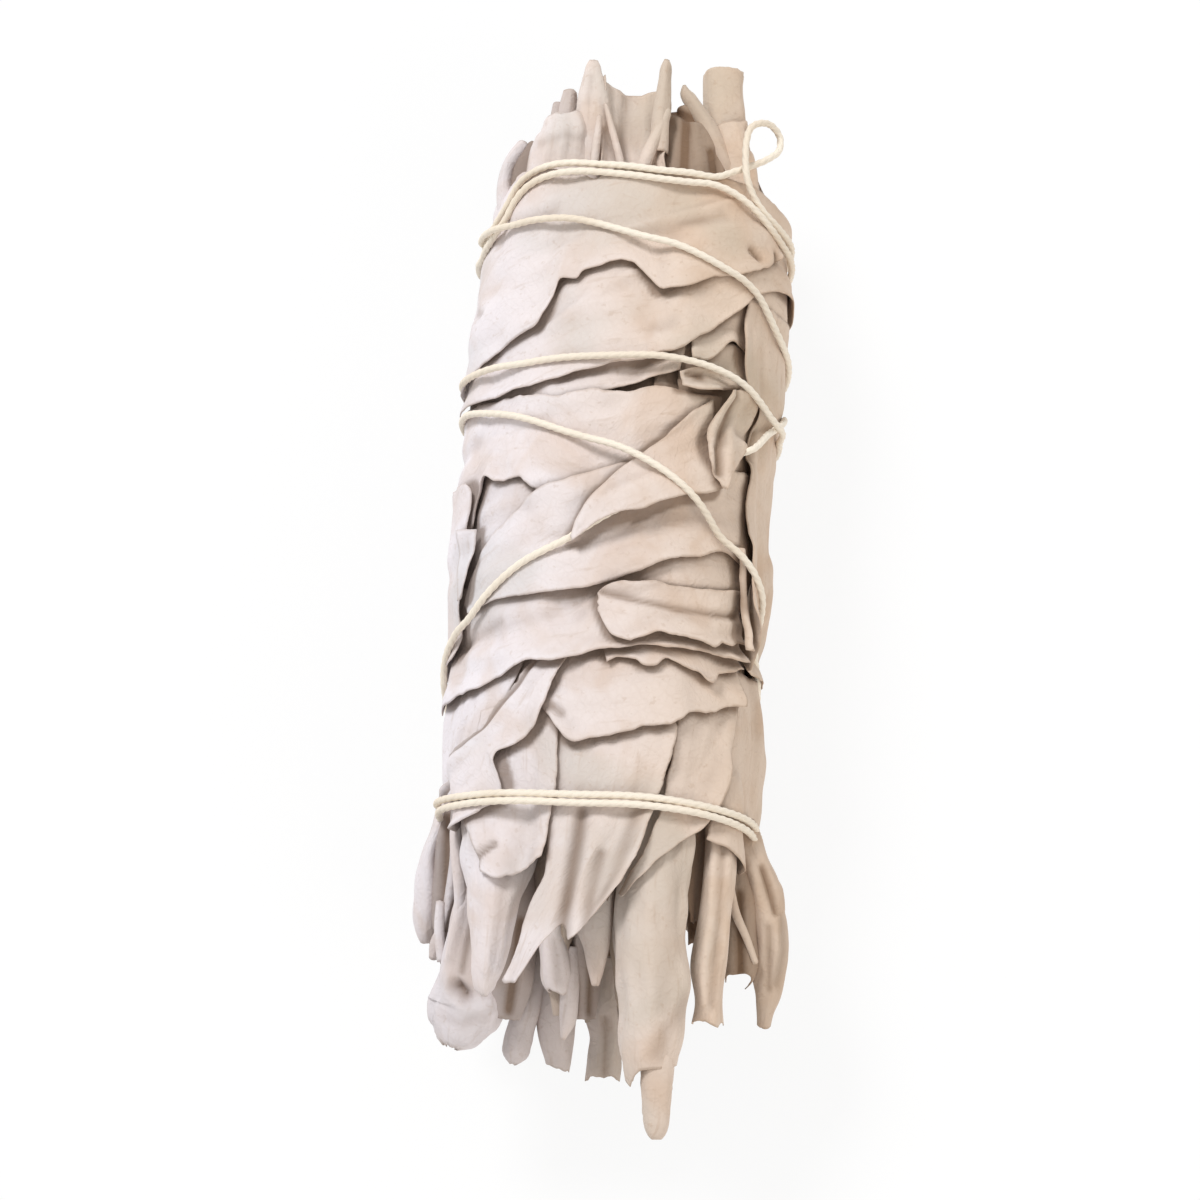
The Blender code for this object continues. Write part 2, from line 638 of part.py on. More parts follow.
def main():
    for old in list(bpy.data.objects):
        bpy.data.objects.remove(old)
    bundle = bpy.data.collections.new("smudge_stick")
    cutters = bpy.data.collections.new("cutters")
    for made in (bundle, cutters):
        bpy.context.scene.collection.children.link(made)
    sage = new_material("dried_sage", LEAF_COLOUR, 0.85)
    inner_sage = new_material("inner_sage", INNER_COLOUR, 0.9)
    cotton = new_material("cotton_string", STRING_COLOUR, 0.8)

    stack = HeightMap()
    settled = {}
    for spec in LONG_LEAVES + BACK_LEAVES + [RESTING_LEAF] + WRAP_LEAVES:
        settled[spec["name"]] = settle(spec, stack)
    places, height = settled["resting_leaf"]
    lowest = on_bundle(places[..., 0], places[..., 1], height + LEAF_THICKNESS, 0.0)[..., 2].min()
    rise = -lowest - PRESSED_DEPTH

    string = StringLayer()
    pieces = [string.lay(STRING_TO_LEAF, stack), string.lay(STRING_UNDER_LEAF, stack)]
    under = smooth_route(STRING_UNDER_LEAF, MAP_STEP)
    stack.raise_to(under, pieces[1][1].max() + STRING_DIAMETER / 2)
    for spec in COVER_LEAVES:
        settled[spec["name"]] = settle(spec, stack)
    pieces.append(string.lay(STRING_TO_STEMS, stack))
    pieces.append(string.lay(STRING_TO_END, stack))
    route = np.concatenate([piece[0] for piece in pieces])
    heights = np.concatenate([piece[1] for piece in pieces])
    points = on_bundle(route[:, 0], route[:, 1], heights, rise)
    radius = STRING_DIAMETER / 2
    add_rod("string", [(*point, radius) for point in points], cotton, bundle)

    for name, (places, height) in settled.items():
        made = add_leaf(name, places, height, rise, sage, bundle)
        if name == "resting_leaf":
            press_flat(made, cutters)
    for name, waypoints in SPRIGS.items():
        add_rolled(name, waypoints, rise, inner_sage, bundle)
    for name, waypoints in ROLLED_LEAVES.items():
        add_rolled(name, waypoints, rise, sage, bundle)


main()
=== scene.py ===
"""Looks of a smudge stick: pale dried sage leaves wrapped round stems and bound with cotton string.

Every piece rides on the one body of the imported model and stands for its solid. Places on the bundle are
(along, around): millimetres along +Y, and degrees round the section from its top, positive towards +X. A
height is the distance, in millimetres, outside the envelope of the inner sprigs. The flat plane is the
unrolled bundle, in millimetres.
"""

import math

import bpy
import numpy as np
from mathutils import Matrix, Vector


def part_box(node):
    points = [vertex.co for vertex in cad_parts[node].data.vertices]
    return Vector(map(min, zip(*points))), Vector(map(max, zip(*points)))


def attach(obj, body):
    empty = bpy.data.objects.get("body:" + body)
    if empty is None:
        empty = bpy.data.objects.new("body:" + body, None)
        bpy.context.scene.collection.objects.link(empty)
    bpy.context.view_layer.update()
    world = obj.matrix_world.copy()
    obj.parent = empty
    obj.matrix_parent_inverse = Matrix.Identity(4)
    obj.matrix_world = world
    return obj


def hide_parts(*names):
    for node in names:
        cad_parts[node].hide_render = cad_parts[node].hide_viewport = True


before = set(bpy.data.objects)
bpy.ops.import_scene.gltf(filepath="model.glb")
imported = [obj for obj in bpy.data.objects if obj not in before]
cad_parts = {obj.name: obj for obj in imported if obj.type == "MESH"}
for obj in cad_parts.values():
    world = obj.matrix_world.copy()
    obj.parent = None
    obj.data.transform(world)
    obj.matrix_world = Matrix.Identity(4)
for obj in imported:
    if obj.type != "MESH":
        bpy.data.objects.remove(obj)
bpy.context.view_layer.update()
MM = 0.001

# The camera looks down on the bundle from the side of its leaf tips.
CAMERA_LENS, CAMERA_SENSOR = 81.0, 36.0  # mm
CAMERA_DISTANCE, CAMERA_NEAREST = 0.270, 0.01
CAMERA_AZIMUTH, CAMERA_ELEVATION = 3.3, 75.0
CAMERA_TARGET = (0.00025, -0.0003, 0.015)
CAMERA_ASIDE = -0.0012  # so that the bundle stands a little right of the middle of the view


def make_camera():
    azimuth, elevation = math.radians(CAMERA_AZIMUTH), math.radians(CAMERA_ELEVATION)
    level = math.cos(elevation)
    back = Vector((math.sin(azimuth) * level, -math.cos(azimuth) * level, math.sin(elevation)))
    turned = back.to_track_quat("Z", "Y")
    aside = turned @ Vector((CAMERA_ASIDE, 0, 0))
    data = bpy.data.cameras.new("camera")
    data.lens = CAMERA_LENS
    data.sensor_width = CAMERA_SENSOR
    data.clip_start = CAMERA_NEAREST
    camera = bpy.data.objects.new("camera", data)
    place = Vector(CAMERA_TARGET) + aside + back * CAMERA_DISTANCE
    camera.matrix_world = Matrix.Translation(place) @ turned.to_matrix().to_4x4()
    bpy.context.scene.collection.objects.link(camera)
    bpy.context.scene.camera = camera


make_camera()

# ---------------------------------------------------------------- the bundle's envelope, as in the part

ROUNDNESS = 0.88  # height over width
UNDERSIDE_POWER = 0.75  # below 1 flattens the underside
WRAP_DEPTH = 3.1
# (along, half width over the wrapped leaves, sideways drift of the middle)
OUTLINE = np.array(
    [
        (-60, 13.0, 0.0),
        (-48, 15.4, 0.0),
        (-36, 16.4, 0.0),
        (-28, 16.4, 0.0),
        (-14, 16.2, -0.2),
        (-6, 15.3, -0.5),
        (1, 16.1, -0.5),
        (12, 15.9, -0.4),
        (24, 15.8, 0.0),
        (36, 15.6, 0.4),
        (44, 14.6, 0.4),
        (52, 13.2, 0.3),
        (60, 12.0, 0.0),
    ]
)
SECTION_MIDDLE = (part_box("sprig_middle")[0].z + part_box("sprig_middle")[1].z) / 2 / MM
CENTRING = (0.25, -0.3)  # moves everything so that the origin is below the middle of the box
FLAT_DEGREE = math.radians(16.0)  # millimetres of the flat plane in a degree round the bundle
TURN = 360.0
ROUND_FLAT = TURN * FLAT_DEGREE  # once round the bundle, on the flat plane
ENVELOPE_STEPS, DEEPEST = 20, -6.0
TINY = 1e-12


def outside_half_width(along):
    return np.interp(along, OUTLINE[:, 0], OUTLINE[:, 1])


def drift(along):
    return np.interp(along, OUTLINE[:, 0], OUTLINE[:, 2])


def oval(along, height):
    """The half width and half height of the section at a height over the envelope."""
    half = outside_half_width(along)
    return half - WRAP_DEPTH + height, ROUNDNESS * half - WRAP_DEPTH + height


def on_bundle(along, around, height):
    """The point, in millimetres, at a height over the envelope: an oval of the half width and half height
    there, whose underside is flattened by a power of the cosine."""
    angle = np.radians(around)
    up = np.cos(angle)
    up = np.where(up < 0, -(np.abs(up) ** UNDERSIDE_POWER), up)
    wide, tall = oval(along, height)
    across = drift(along) + wide * np.sin(angle)
    upward = SECTION_MIDDLE + tall * up
    return np.stack([across + CENTRING[0], along + CENTRING[1] + 0 * across, upward], axis=-1)


def over_envelope(points):
    """Where points lie over the bundle's upper side, as flat places and heights: each step moves the height
    by how far the point is outside its oval."""
    along = points[..., 1] - CENTRING[1]
    across = points[..., 0] - CENTRING[0] - drift(along)
    upward = points[..., 2] - SECTION_MIDDLE
    height = 0 * along
    for _ in range(ENVELOPE_STEPS):
        wide, tall = oval(along, height)
        ratio = np.hypot(across / wide, upward / tall)
        height = np.maximum(height + (ratio - 1) * (wide + tall) / 2, DEEPEST)
    wide, tall = oval(along, height)
    around = np.degrees(np.arctan2(across / wide, upward / tall))
    return np.stack([along, around * FLAT_DEGREE], axis=-1), height


def flat(places):
    """(along, around) places on the flat plane."""
    return np.asarray(places, float) * [1.0, FLAT_DEGREE]


def shortest_round(across):
    """Differences across the flat plane, taken the short way round the bundle."""
    return (across + ROUND_FLAT / 2) % ROUND_FLAT - ROUND_FLAT / 2


def travelled(points):
    """How far each of a line's points is from its first."""
    return np.concatenate([[0.0], np.cumsum(np.linalg.norm(np.diff(points, axis=0), axis=1))])


def unit(vectors):
    return vectors / np.maximum(np.linalg.norm(vectors, axis=-1, keepdims=True), TINY)


def side_and_up(path):
    """At each point of a path, the level direction square to it and the one square to both."""
    forward = unit(np.gradient(path, axis=0))
    side = unit(np.cross(forward, [0.0, 0.0, 1.0]))
    return side, np.cross(side, forward)


def table(points, share):
    """Straight lines through (share, value) points."""
    points = np.asarray(points, float)
    return np.interp(share, points[:, 0], points[:, 1])


def curve_through(points, at):
    """Places at these distances along a smooth curve through the points: cubic pieces whose slopes are the
    mean of their neighbours' slopes. Each row of points is carried whole, and its distance is measured over
    its first two numbers."""
    reached = travelled(points[:, :2])
    slopes = np.gradient(points, reached, axis=0)
    span = np.clip(np.searchsorted(reached, at, side="right") - 1, 0, len(points) - 2)
    length = (reached[span + 1] - reached[span])[:, None]
    t = (at - reached[span])[:, None] / length
    return (
        (2 * t**3 - 3 * t**2 + 1) * points[span]
        + (t**3 - 2 * t**2 + t) * length * slopes[span]
        + (3 * t**2 - 2 * t**3) * points[span + 1]
        + (t**3 - t**2) * length * slopes[span + 1]
    )


def path_by_distance(path):
    """A path's rows with their distance along it and a zero put first, so that curve_through measures it."""
    reached = travelled(path[:, :3])
    return np.column_stack([reached, 0 * reached, path])


def ripple(x, y, size, seed, waves=8):
    """Smooth noise, mostly between -1 and 1: a sum of sine waves in random directions, each about `size`
    long."""
    draw = np.random.default_rng(seed)
    shape = (waves,) + (1,) * np.ndim(x)
    direction = draw.uniform(0, 2 * math.pi, waves).reshape(shape)
    length = size * draw.uniform(0.7, 1.6, waves).reshape(shape)
    phase = draw.uniform(0, 2 * math.pi, waves).reshape(shape)
    way = np.cos(direction) * x + np.sin(direction) * y
    return np.sin(2 * math.pi * way / length + phase).sum(axis=0) / math.sqrt(waves)


def smooth_step(value, low, high):
    t = np.clip((value - low) / (high - low), 0, 1)
    return t * t * (3 - 2 * t)


def distance_to_line(plane, line):
    """How far each place of the plane is from a line of straight pieces, and which side of it, as +1 or
    -1."""
    start, end = line[:-1], line[1:]
    way = end - start
    offset = plane[..., None, :] - start
    share = np.clip((offset * way).sum(-1) / np.maximum((way * way).sum(-1), TINY), 0, 1)
    apart = offset - share[..., None] * way
    distance = np.linalg.norm(apart, axis=-1)
    nearest = distance.argmin(axis=-1)[..., None]
    side = way[:, 1] * offset[..., 0] - way[:, 0] * offset[..., 1]
    distance, side = (np.take_along_axis(each, nearest, -1)[..., 0] for each in (distance, side))
    return distance, np.sign(side)


# ---------------------------------------------------------------- the leaves, on the flat plane

LEAF_THICKNESS, LEAF_GAP = 0.22, 0.08
RIM_THINNING = 0.45  # share of the thickness left at a leaf's rim
RIM_REACH = 0.5  # how far from its rim a leaf thins
EDGE_LIFT = 0.5  # mm that an edge may stand up where nothing holds it down
# How high the lowest leaves lie, (along, mm): what is inside fills the bundle more towards the stems. Then
# how much higher they lie on its two sides.
FIRST_LAYER = [
    (-62, 0.75), (-26, 0.8), (-14, 1.0), (0, 0.8), (24, 0.9), (31, 1.2), (37, 1.5), (43, 1.9), (48, 1.8),
    (53, 1.0),
]  # fmt: skip
RIGHT_FULLNESS = 0.45
LEFT_FULLNESS = [(20, 0), (27, 0.7), (34, 0.6), (40, 0)]
# A gentle unevenness under all the leaves.
SWELL_HEIGHT, SWELL_SIZE, SWELL_ROUND, SWELL_SEED = 0.22, 13.0, 14, 7
PRESSED_DEPTH = 0.3  # how far the resting leaf is pressed flat by the table
STEP, HIDDEN_STEP = 0.36, 0.6  # spacing of a leaf's points
EDGE_REACH, END_REACH, LIFT_REACH = 1.6, 4.0, 1.5  # how far in from a rim each movement of it is felt
JAG_SIZE, FINE_JAG_SIZE, FINE_JAG_SHARE, TORN_JAG = 3.4, 1.1, 0.35, 1.6
END_JAG_SIZE, END_JAG_SHARE = 1.6, 0.8
WRINKLE_SIZE, WRINKLE_STRETCH = 2.6, 0.22  # wrinkles run along the leaf
WAVE_HEIGHT, WAVE_SIZE = 0.1, 8.0
LIFT_WAVE_SIZE = 6.0
STEEP_SHARE = 0.35  # a fold's reach on its steep side
LEVEL_ENDS, LEVEL_EDGES = 0.2, 0.4  # shares of a level leaf over which it turns up


def leaf(name, left, right, **looks):
    """A leaf as two long edges, each a list of (along, around) points from its base to its tip.

    torn: which edges are torn lines instead of smooth ones, "l", "r" or both. arch: how far the middle stands
    over the two edges, (share of the length, mm) points. sink: what is added to its height, in the same way.
    lift: how far the left edge, right edge, base and tip stand up, as shares of EDGE_LIFT. flare: how far the
    tip stands off. tip: how far its end reaches past a straight line, (share of the width, mm) points.
    ragged, wrinkle: the height of the rims' jags and of the wrinkles. scroll: (radius, degrees) of a tip
    rolled upwards. level: True where the table presses it flat. folds: (line, height, width, side) ridges, or
    creases where the height is negative, steep on the side given as +1 or -1. tone: how much darker. extra:
    True where it has no solid of its own."""
    return {"name": name, "edges": (left, right), **looks}


INNER_SINK = [(0, -1.2), (0.12, 0), (0.78, 0), (1, -2.4)]
LONG_LEAVES = [
    leaf(
        "long_leaf_top",
        [(40.5, -17), (20, -28), (-20, -28), (-34, -12)],
        [(40, 8), (20, 28), (-20, 28), (-33, 4)],
    ),
    leaf(
        "long_leaf_right",
        [(43.5, 54), (36, 32), (-20, 32), (-33, 46)],
        [(43.5, 78), (20, 88), (-20, 88), (-32, 66)],
    ),
    leaf(
        "long_leaf_under_right",
        [(49, 98), (20, 92), (-20, 92), (-32, 100)],
        [(48, 130), (20, 148), (-20, 148), (-33, 130)],
    ),
    leaf(
        "long_leaf_under",
        [(47, 160), (20, 152), (-20, 152), (-35, 160)],
        [(48, 196), (20, 208), (-20, 208), (-36, 192)],
    ),
    leaf(
        "long_leaf_under_left",
        [(49, 226), (20, 212), (-20, 212), (-36, 226)],
        [(47, 250), (20, 268), (-20, 268), (-34, 248)],
    ),
    leaf(
        "long_leaf_left",
        [(44, 284), (20, 272), (-20, 272), (-34, 284)],
        [(44, 312), (20, 328), (-20, 328), (-34, 316)],
    ),
]  # fmt: skip
for spec in LONG_LEAVES:
    spec.update(sink=INNER_SINK, tone=0.5, step=HIDDEN_STEP, ragged=0.15)

BACK_LEAVES = [
    leaf("back_leaf_upper_right", [(40.5, 84), (41.5, 122), (40.5, 156)], [(21, 84), (21, 122), (22, 156)]),
    leaf("back_leaf_upper", [(39, 138), (40.5, 200), (39, 248)], [(20, 138), (17, 200), (19, 248)]),
    leaf("back_leaf_upper_left", [(41, 232), (41.5, 262), (39.5, 290)], [(19, 232), (19, 262), (17, 290)]),
    leaf("back_leaf_middle_right", [(24, 82), (25, 122), (24, 156)], [(0, 82), (-1, 122), (1, 162)]),
    leaf("back_leaf_middle_left", [(21, 198), (23, 240), (19, 284)], [(1, 198), (-0.5, 240), (-2, 284)]),
    leaf("back_leaf_lower_right", [(3, 84), (4, 122), (4, 162)], [(-20, 84), (-19, 122), (-20, 162)]),
    leaf("back_leaf_lower_left", [(4, 198), (4, 240), (1.5, 276)], [(-21, 198), (-21, 240), (-21, 270)]),
    leaf(
        "back_leaf_tip_right",
        [(-16, 94), (-25, 92), (-30, 96), (-34, 106)],
        [(-16, 150), (-25, 150), (-31, 142), (-35, 128)],
        flare=0.6, scroll=(1.2, 90),
    ),
    leaf("back_leaf_tip_middle", [(-18, 151), (-27, 151), (-38, 168)], [(-18, 206), (-28, 206), (-39, 192)]),
    leaf(
        "back_leaf_tip_left",
        [(-17, 207), (-26, 207), (-35, 220), (-41, 234)],
        [(-18, 252), (-26, 253), (-35, 251), (-40, 245)],
        flare=1.0,
    ),
]  # fmt: skip
for number, spec in enumerate(BACK_LEAVES):
    spec.update(lift=(0.15, 0.5, 0.2, 0.3), ragged=0.45, wrinkle=0.2, tone=(0.12, 0.2, 0.05)[number % 3])

RESTING_LEAF = leaf(
    "resting_leaf",
    [(15.5, 158), (0, 152), (-15.5, 158)],
    [(15.5, 202), (0, 208), (-15.5, 202)],
    level=True,
    wrinkle=0.03,
)

WRAP_LEAVES = [
    leaf(
        "side_tip_leaf",
        [(-8, 58), (-13, 56.5), (-16, 52.5), (-20, 47.5), (-24, 42), (-25.6, 40)],
        [(-8, 96), (-13, 97), (-18, 98), (-23, 98), (-27.5, 97)],
        tip=[(0, 0), (0.2, 0.4), (0.36, 1.6), (0.7, 1.0), (1, 0)],
        lift=(0.55, 0, 0, 0.7), tone=0.1,
    ),
    leaf(
        "stepped_leaf",
        [(-10, 29), (-16, 27), (-22, 23.5), (-25, 20), (-28, 15), (-31.5, 9)],
        [
            (-10, 62), (-14, 56), (-17, 51.5), (-20, 48), (-22.5, 44), (-24.6, 38), (-26.2, 30), (-28.5, 20),
            (-31.7, 10.4),
        ],
        lift=(0.1, 0.35, 0, 0.3), tone=0.05,
    ),
    leaf(
        "left_flank_leaf",
        [(-8, -98), (-17, -99), (-25, -94)],
        [(-9, -30), (-13, -38), (-18, -52), (-25, -72)],
        lift=(0, 0.2, 0, 0),
    ),
    leaf(
        "centre_tip_leaf",
        [
            (-10, -18), (-17, -17.5), (-23, -18.5), (-26, -18.8), (-29.8, -17.8), (-33.1, -23), (-36.8, -26.3),
            (-39.8, -31.2),
        ],
        [(-10, 26), (-16, 26), (-21, 22), (-24.5, 17.5), (-28, 12.8), (-30.7, 8.6)],
        tip=[
            (0, 0), (0.06, 1.0), (0.2, 2.3), (0.26, 1.8), (0.36, 0.4), (0.47, -0.7), (0.52, -0.4), (0.62, 1.3),
            (0.7, 3.0), (0.76, 3.3), (0.81, 2.8), (0.9, 1.3), (1, 0),
        ],
        arch=[(0, 0), (0.5, 0.2), (1, 0.5)],
        folds=[
            ([(-24, -6), (-29, -8), (-35.5, -10)], -0.55, 0.8, 0),
            ([(-26, -2), (-31, -4.5), (-36, -5.5)], 0.3, 0.6, 0),
            ([(-28, 2), (-32, -0.5), (-35.5, -1.5)], -0.3, 0.6, 0),
            ([(-23, -15), (-30, -14), (-37, -22)], 0.25, 1.4, 0),
        ],
        flare=0.6, lift=(0.35, 0.3, 0, 0.35),
    ),
    leaf(
        "left_tongue_leaf",
        [(-14, -50), (-22, -52), (-26, -46), (-28, -42), (-30, -38.5)],
        [(-14, -15), (-22, -15.5), (-26, -17.5), (-28.4, -18.4)],
        tip=[(0, 0), (0.15, 0.9), (0.45, 0.9), (0.7, 0.5), (1, 0)],
        folds=[([(-27.4, -36), (-28.5, -40.5), (-29.2, -41)], -0.45, 0.45, 0)],
        lift=(0.1, 0.3, 0, 0.35),
    ),
    leaf(
        "lower_band_leaf",
        [(-7.5, -24), (-7, -5), (-7, 8), (-7, 30), (-6.6, 58)],
        [
            (-14, -22), (-17.6, -11), (-17.2, -3), (-16.9, 2), (-16, 12), (-15.3, 23), (-14.9, 26), (-14.2, 29),
            (-13.6, 34), (-13.3, 42), (-12.4, 50), (-12, 58),
        ],
        folds=[
            ([(-12, -10), (-11.7, 0), (-11, 8)], 0.16, 0.6, -1), ([(-14.3, -17), (-14.9, -14)], -0.35, 0.5, 0),
            ([(-13, 8), (-12.2, 24), (-11.4, 40)], 0.12, 1.5, 0),
        ],
        torn="r", lift=(0, 0.75, 0, 0), tone=0.02,
    ),
    leaf(
        "tongue_flap",
        [(-8.5, -24), (-10.5, -29.5), (-13.3, -38.6), (-17.2, -51.3), (-19.4, -68), (-21.5, -86)],
        [
            (-8.5, -12), (-13, -18), (-16, -22), (-17.6, -27), (-18.3, -36.5), (-19.4, -37), (-21, -34.6),
            (-23, -34), (-24.4, -41), (-25.6, -52), (-25.8, -70), (-25.4, -86),
        ],
        folds=[
            (
                [(-9, -23.6), (-10.9, -29.3), (-13.7, -38), (-17.5, -50.6), (-19.8, -67), (-21.9, -84)], -0.5,
                0.35, 0,
            ),
        ],
        torn="r", lift=(0.5, 1.0, 0, 0), extra=True,
    ),
    leaf(
        "right_wrap_leaf",
        [(34, 24), (33, 56), (32, 92)],
        [(17.6, 27), (15.5, 40), (15, 66), (15, 92)],
        lift=(0, 0.3, 0, 0), tone=0.1,
    ),
    leaf(
        "right_under_leaf",
        [(23.5, 20), (24, 44), (24, 76)],
        [(-1, 26), (-1, 44), (-2, 76)],
        folds=[([(17, 47), (10, 52), (3, 51)], 0.2, 1.0, 0), ([(14, 33), (9, 44)], -0.15, 0.6, 0)],
        tone=0.14, extra=True,
    ),
    leaf(
        "grey_leaf",
        [(17.2, -24), (17.3, 0), (17.3, 12), (17.2, 22), (16.8, 36)],
        [(5, -18), (6, 0), (7, 12), (8, 24), (9, 36)],
        lift=(0.15, 0, 0, 0), tone=0.05,
    ),
    leaf(
        "left_wrap_leaf",
        [(21.5, -88), (21.6, -50), (21.8, -16), (22.4, 8), (22.6, 22)],
        [
            (15, -88), (15.6, -60), (16, -40), (16.4, -30), (16.9, -20), (17.3, -8), (17.8, 0), (18.8, 10),
            (19.9, 20.5),
        ],
        folds=[([(19.5, -24), (19.8, -8), (20.6, 10)], -0.15, 0.5, 0)],
        lift=(0, 0.6, 0, 0.5),
    ),
    leaf(
        "left_patch_leaf",
        [(11, -86), (11, -50), (10, -16)],
        [(-5, -86), (-5, -50), (-3, -16)],
        lift=(0, 0.1, 0, 0), tone=0.07, extra=True,
    ),
    leaf(
        "crumpled_strip",
        [(-5, -3), (-5, 20), (-5, 58)],
        [
            (-10, 1), (-9.2, 6), (-9.1, 11), (-10, 13.6), (-9.9, 18), (-9, 21), (-9.6, 30), (-9.9, 36),
            (-10.7, 38.6), (-10.3, 42), (-9.3, 45), (-8.9, 52), (-8.4, 58),
        ],
        torn="r", lift=(0, 0.6, 0, 0), wrinkle=0.22, extra=True,
    ),
    leaf(
        "long_band_leaf",
        [(-1, -92), (-1, -58), (-0.5, -28), (1.5, 4), (3.4, 22), (4, 58)],
        [
            (-12.6, -92), (-12.1, -66), (-11.5, -47), (-10.4, -35), (-9.9, -28), (-9.8, -15), (-9.1, -6),
            (-8.5, 3), (-8, 20), (-7.8, 58),
        ],
        folds=[
            ([(-6.9, -74), (-6.2, -56), (-5.5, -42)], -0.16, 0.5, 0),
            ([(-6.5, -30), (-6, -10), (-5.6, -4)], 0.12, 1.4, 0),
        ],
        lift=(0, 0.65, 0, 0),
    ),
    leaf(
        "pale_leaf",
        [
            (18, -88), (17.6, -50), (17.2, -34), (16.9, -24), (17.5, -10), (17.1, 2), (17.9, 12), (17.6, 24),
            (18, 38),
        ],
        [
            (2.5, -84), (4.2, -70), (4.9, -62.8), (7.5, -61.9), (9.7, -57), (9.8, -54.6), (8.9, -50),
            (8.7, -42), (8.5, -35), (7.4, -28.6), (6.5, -24.8), (4.8, -21), (3.6, -15), (4, -6), (6.4, 6),
            (8.4, 20), (9.6, 38),
        ],
        folds=[
            ([(13, -60), (12, -44), (9.6, -36)], 0.1, 1.2, 0), ([(5.6, -30), (6.2, -24.6)], -0.3, 0.35, 0),
            ([(4.6, -60), (4.8, -54)], -0.2, 0.3, 0),
        ],
        torn="r", lift=(0, 1.0, 0, 0), tone=-0.03,
    ),
    leaf(
        "slanting_leaf",
        [
            (-3, -66), (1.6, -56), (4.1, -45), (5.8, -34.4), (7.4, -24), (8.6, -12), (10, 5), (11, 30),
            (11.5, 60),
        ],
        [
            (-4, -62), (-3.5, -47), (-3.4, -35), (-3.1, -17), (-2.3, -5), (-1.6, 3), (-0.6, 12), (0.7, 21.5),
            (1.5, 33), (2.7, 45), (2.2, 53), (1.4, 60),
        ],
        folds=[([(4.5, 12), (4.8, 30), (5.4, 50)], 0.14, 1.4, 0)],
        lift=(0.1, 0.9, 0, 0), ragged=0.05,
    ),
    leaf(
        "lobed_leaf",
        [(-3, -2.4), (-2.2, 1), (-1.9, 10), (-1.7, 25), (-1.5, 38), (-0.8, 50), (-0.6, 57)],
        [
            (-5, -2.4), (-6, -0.6), (-7.3, 3), (-8, 8), (-7.3, 13), (-6.7, 17.5), (-7.1, 21), (-6.8, 26),
            (-7.1, 33), (-7.4, 39), (-6.4, 43), (-6.8, 48), (-6, 52), (-6, 57),
        ],
        folds=[
            ([(-3, -1), (-3.7, 12), (-4, 26), (-3.8, 43), (-3.3, 54)], -0.4, 0.4, 0),
            ([(-2.5, 6), (-2.6, 24), (-2.2, 48)], 0.14, 0.6, 0),
        ],
        torn="r", lift=(0.25, 0.6, 0.2, 0.2), wrinkle=0.16,
    ),
    leaf(
        "left_edge_leaf",
        [(9.4, -104), (4, -104), (-4, -104), (-9, -100)],
        [(9.4, -66), (8.6, -62.6), (7.2, -62.2), (4.9, -63), (1.9, -64.3), (-2.4, -64.6), (-5, -68), (-8, -76)],
        lift=(0, 0.25, 0, 0.1), extra=True,
    ),
    leaf(
        "white_shred",
        [(4.3, -63.5), (1.5, -63.5), (-2.8, -62.5)],
        [(4.2, -56.8), (1.6, -57), (-2.6, -60.4)],
        lift=(0.3, 0.6, 0, 0.2), tone=-0.08, extra=True,
    ),
    leaf(
        "right_edge_strip",
        [(3.4, 50), (1.6, 52.6), (-2, 52.8), (-6.8, 52)],
        [(3.4, 54), (1.4, 56), (-2, 56.6), (-6.8, 56)],
        arch=[(0, 0.3), (0.5, 0.6), (1, 0.5)],
        extra=True,
    ),
    leaf(
        "right_shoulder_leaf",
        [(31, 20), (32, 50), (34, 92)],
        [(21, 24), (21.3, 30.6), (22.6, 36), (24.1, 42.4), (23.9, 46), (23, 56), (21.5, 76), (21, 92)],
        lift=(0, 0.9, 0, 0), extra=True,
    ),
    leaf(
        "side_leaf",
        [
            (29, 47), (24.6, 45.6), (22, 47.4), (19.4, 54.4), (18.4, 61), (15.8, 58), (13.9, 57.5),
            (10.8, 56.7), (6.6, 55.7), (1.8, 55.8), (-2.6, 55.5), (-4.7, 58), (-8, 64),
        ],
        [(29, 96), (12, 96), (2, 97), (-8, 94)],
        folds=[([(16, 61), (13.2, 58.6)], -0.4, 0.4, 0), ([(24, 52), (12, 66), (2, 64)], 0.12, 1.2, 0)],
        lift=(0.5, 0, 0, 0.2), tone=0.06,
    ),
    leaf(
        "diagonal_leaf",
        [(25, -88), (29.5, -36), (32.6, -18), (33.4, -4), (34.4, 26), (36.6, 56), (40, 84), (41, 116)],
        [
            (18, -88), (17.9, -50), (18.3, -30), (19.3, -16), (20.2, -4), (20.8, 9), (21.6, 17), (24.3, 30),
            (27.3, 42), (29.4, 50), (31, 62), (31.4, 84), (28, 116),
        ],
        folds=[
            ([(24.2, -31), (27, -16), (30, 0)], 0.3, 0.9, 1),
            ([(22.4, -50), (23, -20), (24.6, 10)], 0.1, 2.0, 0),
        ],
        lift=(0, 0.5, 0, 0),
    ),
    leaf(
        "torn_leaf",
        [
            (40.9, -100), (42, -60), (41.4, -34), (40.7, -24), (40, -18.5), (40.9, -13), (41.2, -4), (41.3, 8),
            (41.6, 30), (41.8, 46), (41.6, 70), (41, 100),
        ],
        [
            (20, -92), (20.6, -76), (21.2, -66), (22.6, -55), (23.5, -45), (24.4, -34), (26.6, -30),
            (29.1, -27), (28.7, -19.6), (29.7, -18.4), (30.7, -6), (30.8, 0), (29.8, 5), (27.8, 11),
            (28.6, 20.6), (29.8, 30), (30.6, 38), (31.8, 48), (33.6, 58), (36, 70), (38, 84), (39, 100),
        ],
        folds=[
            ([(34.4, -3), (36.6, 17), (38.6, 35), (39.8, 43)], 0.28, 0.8, 1),
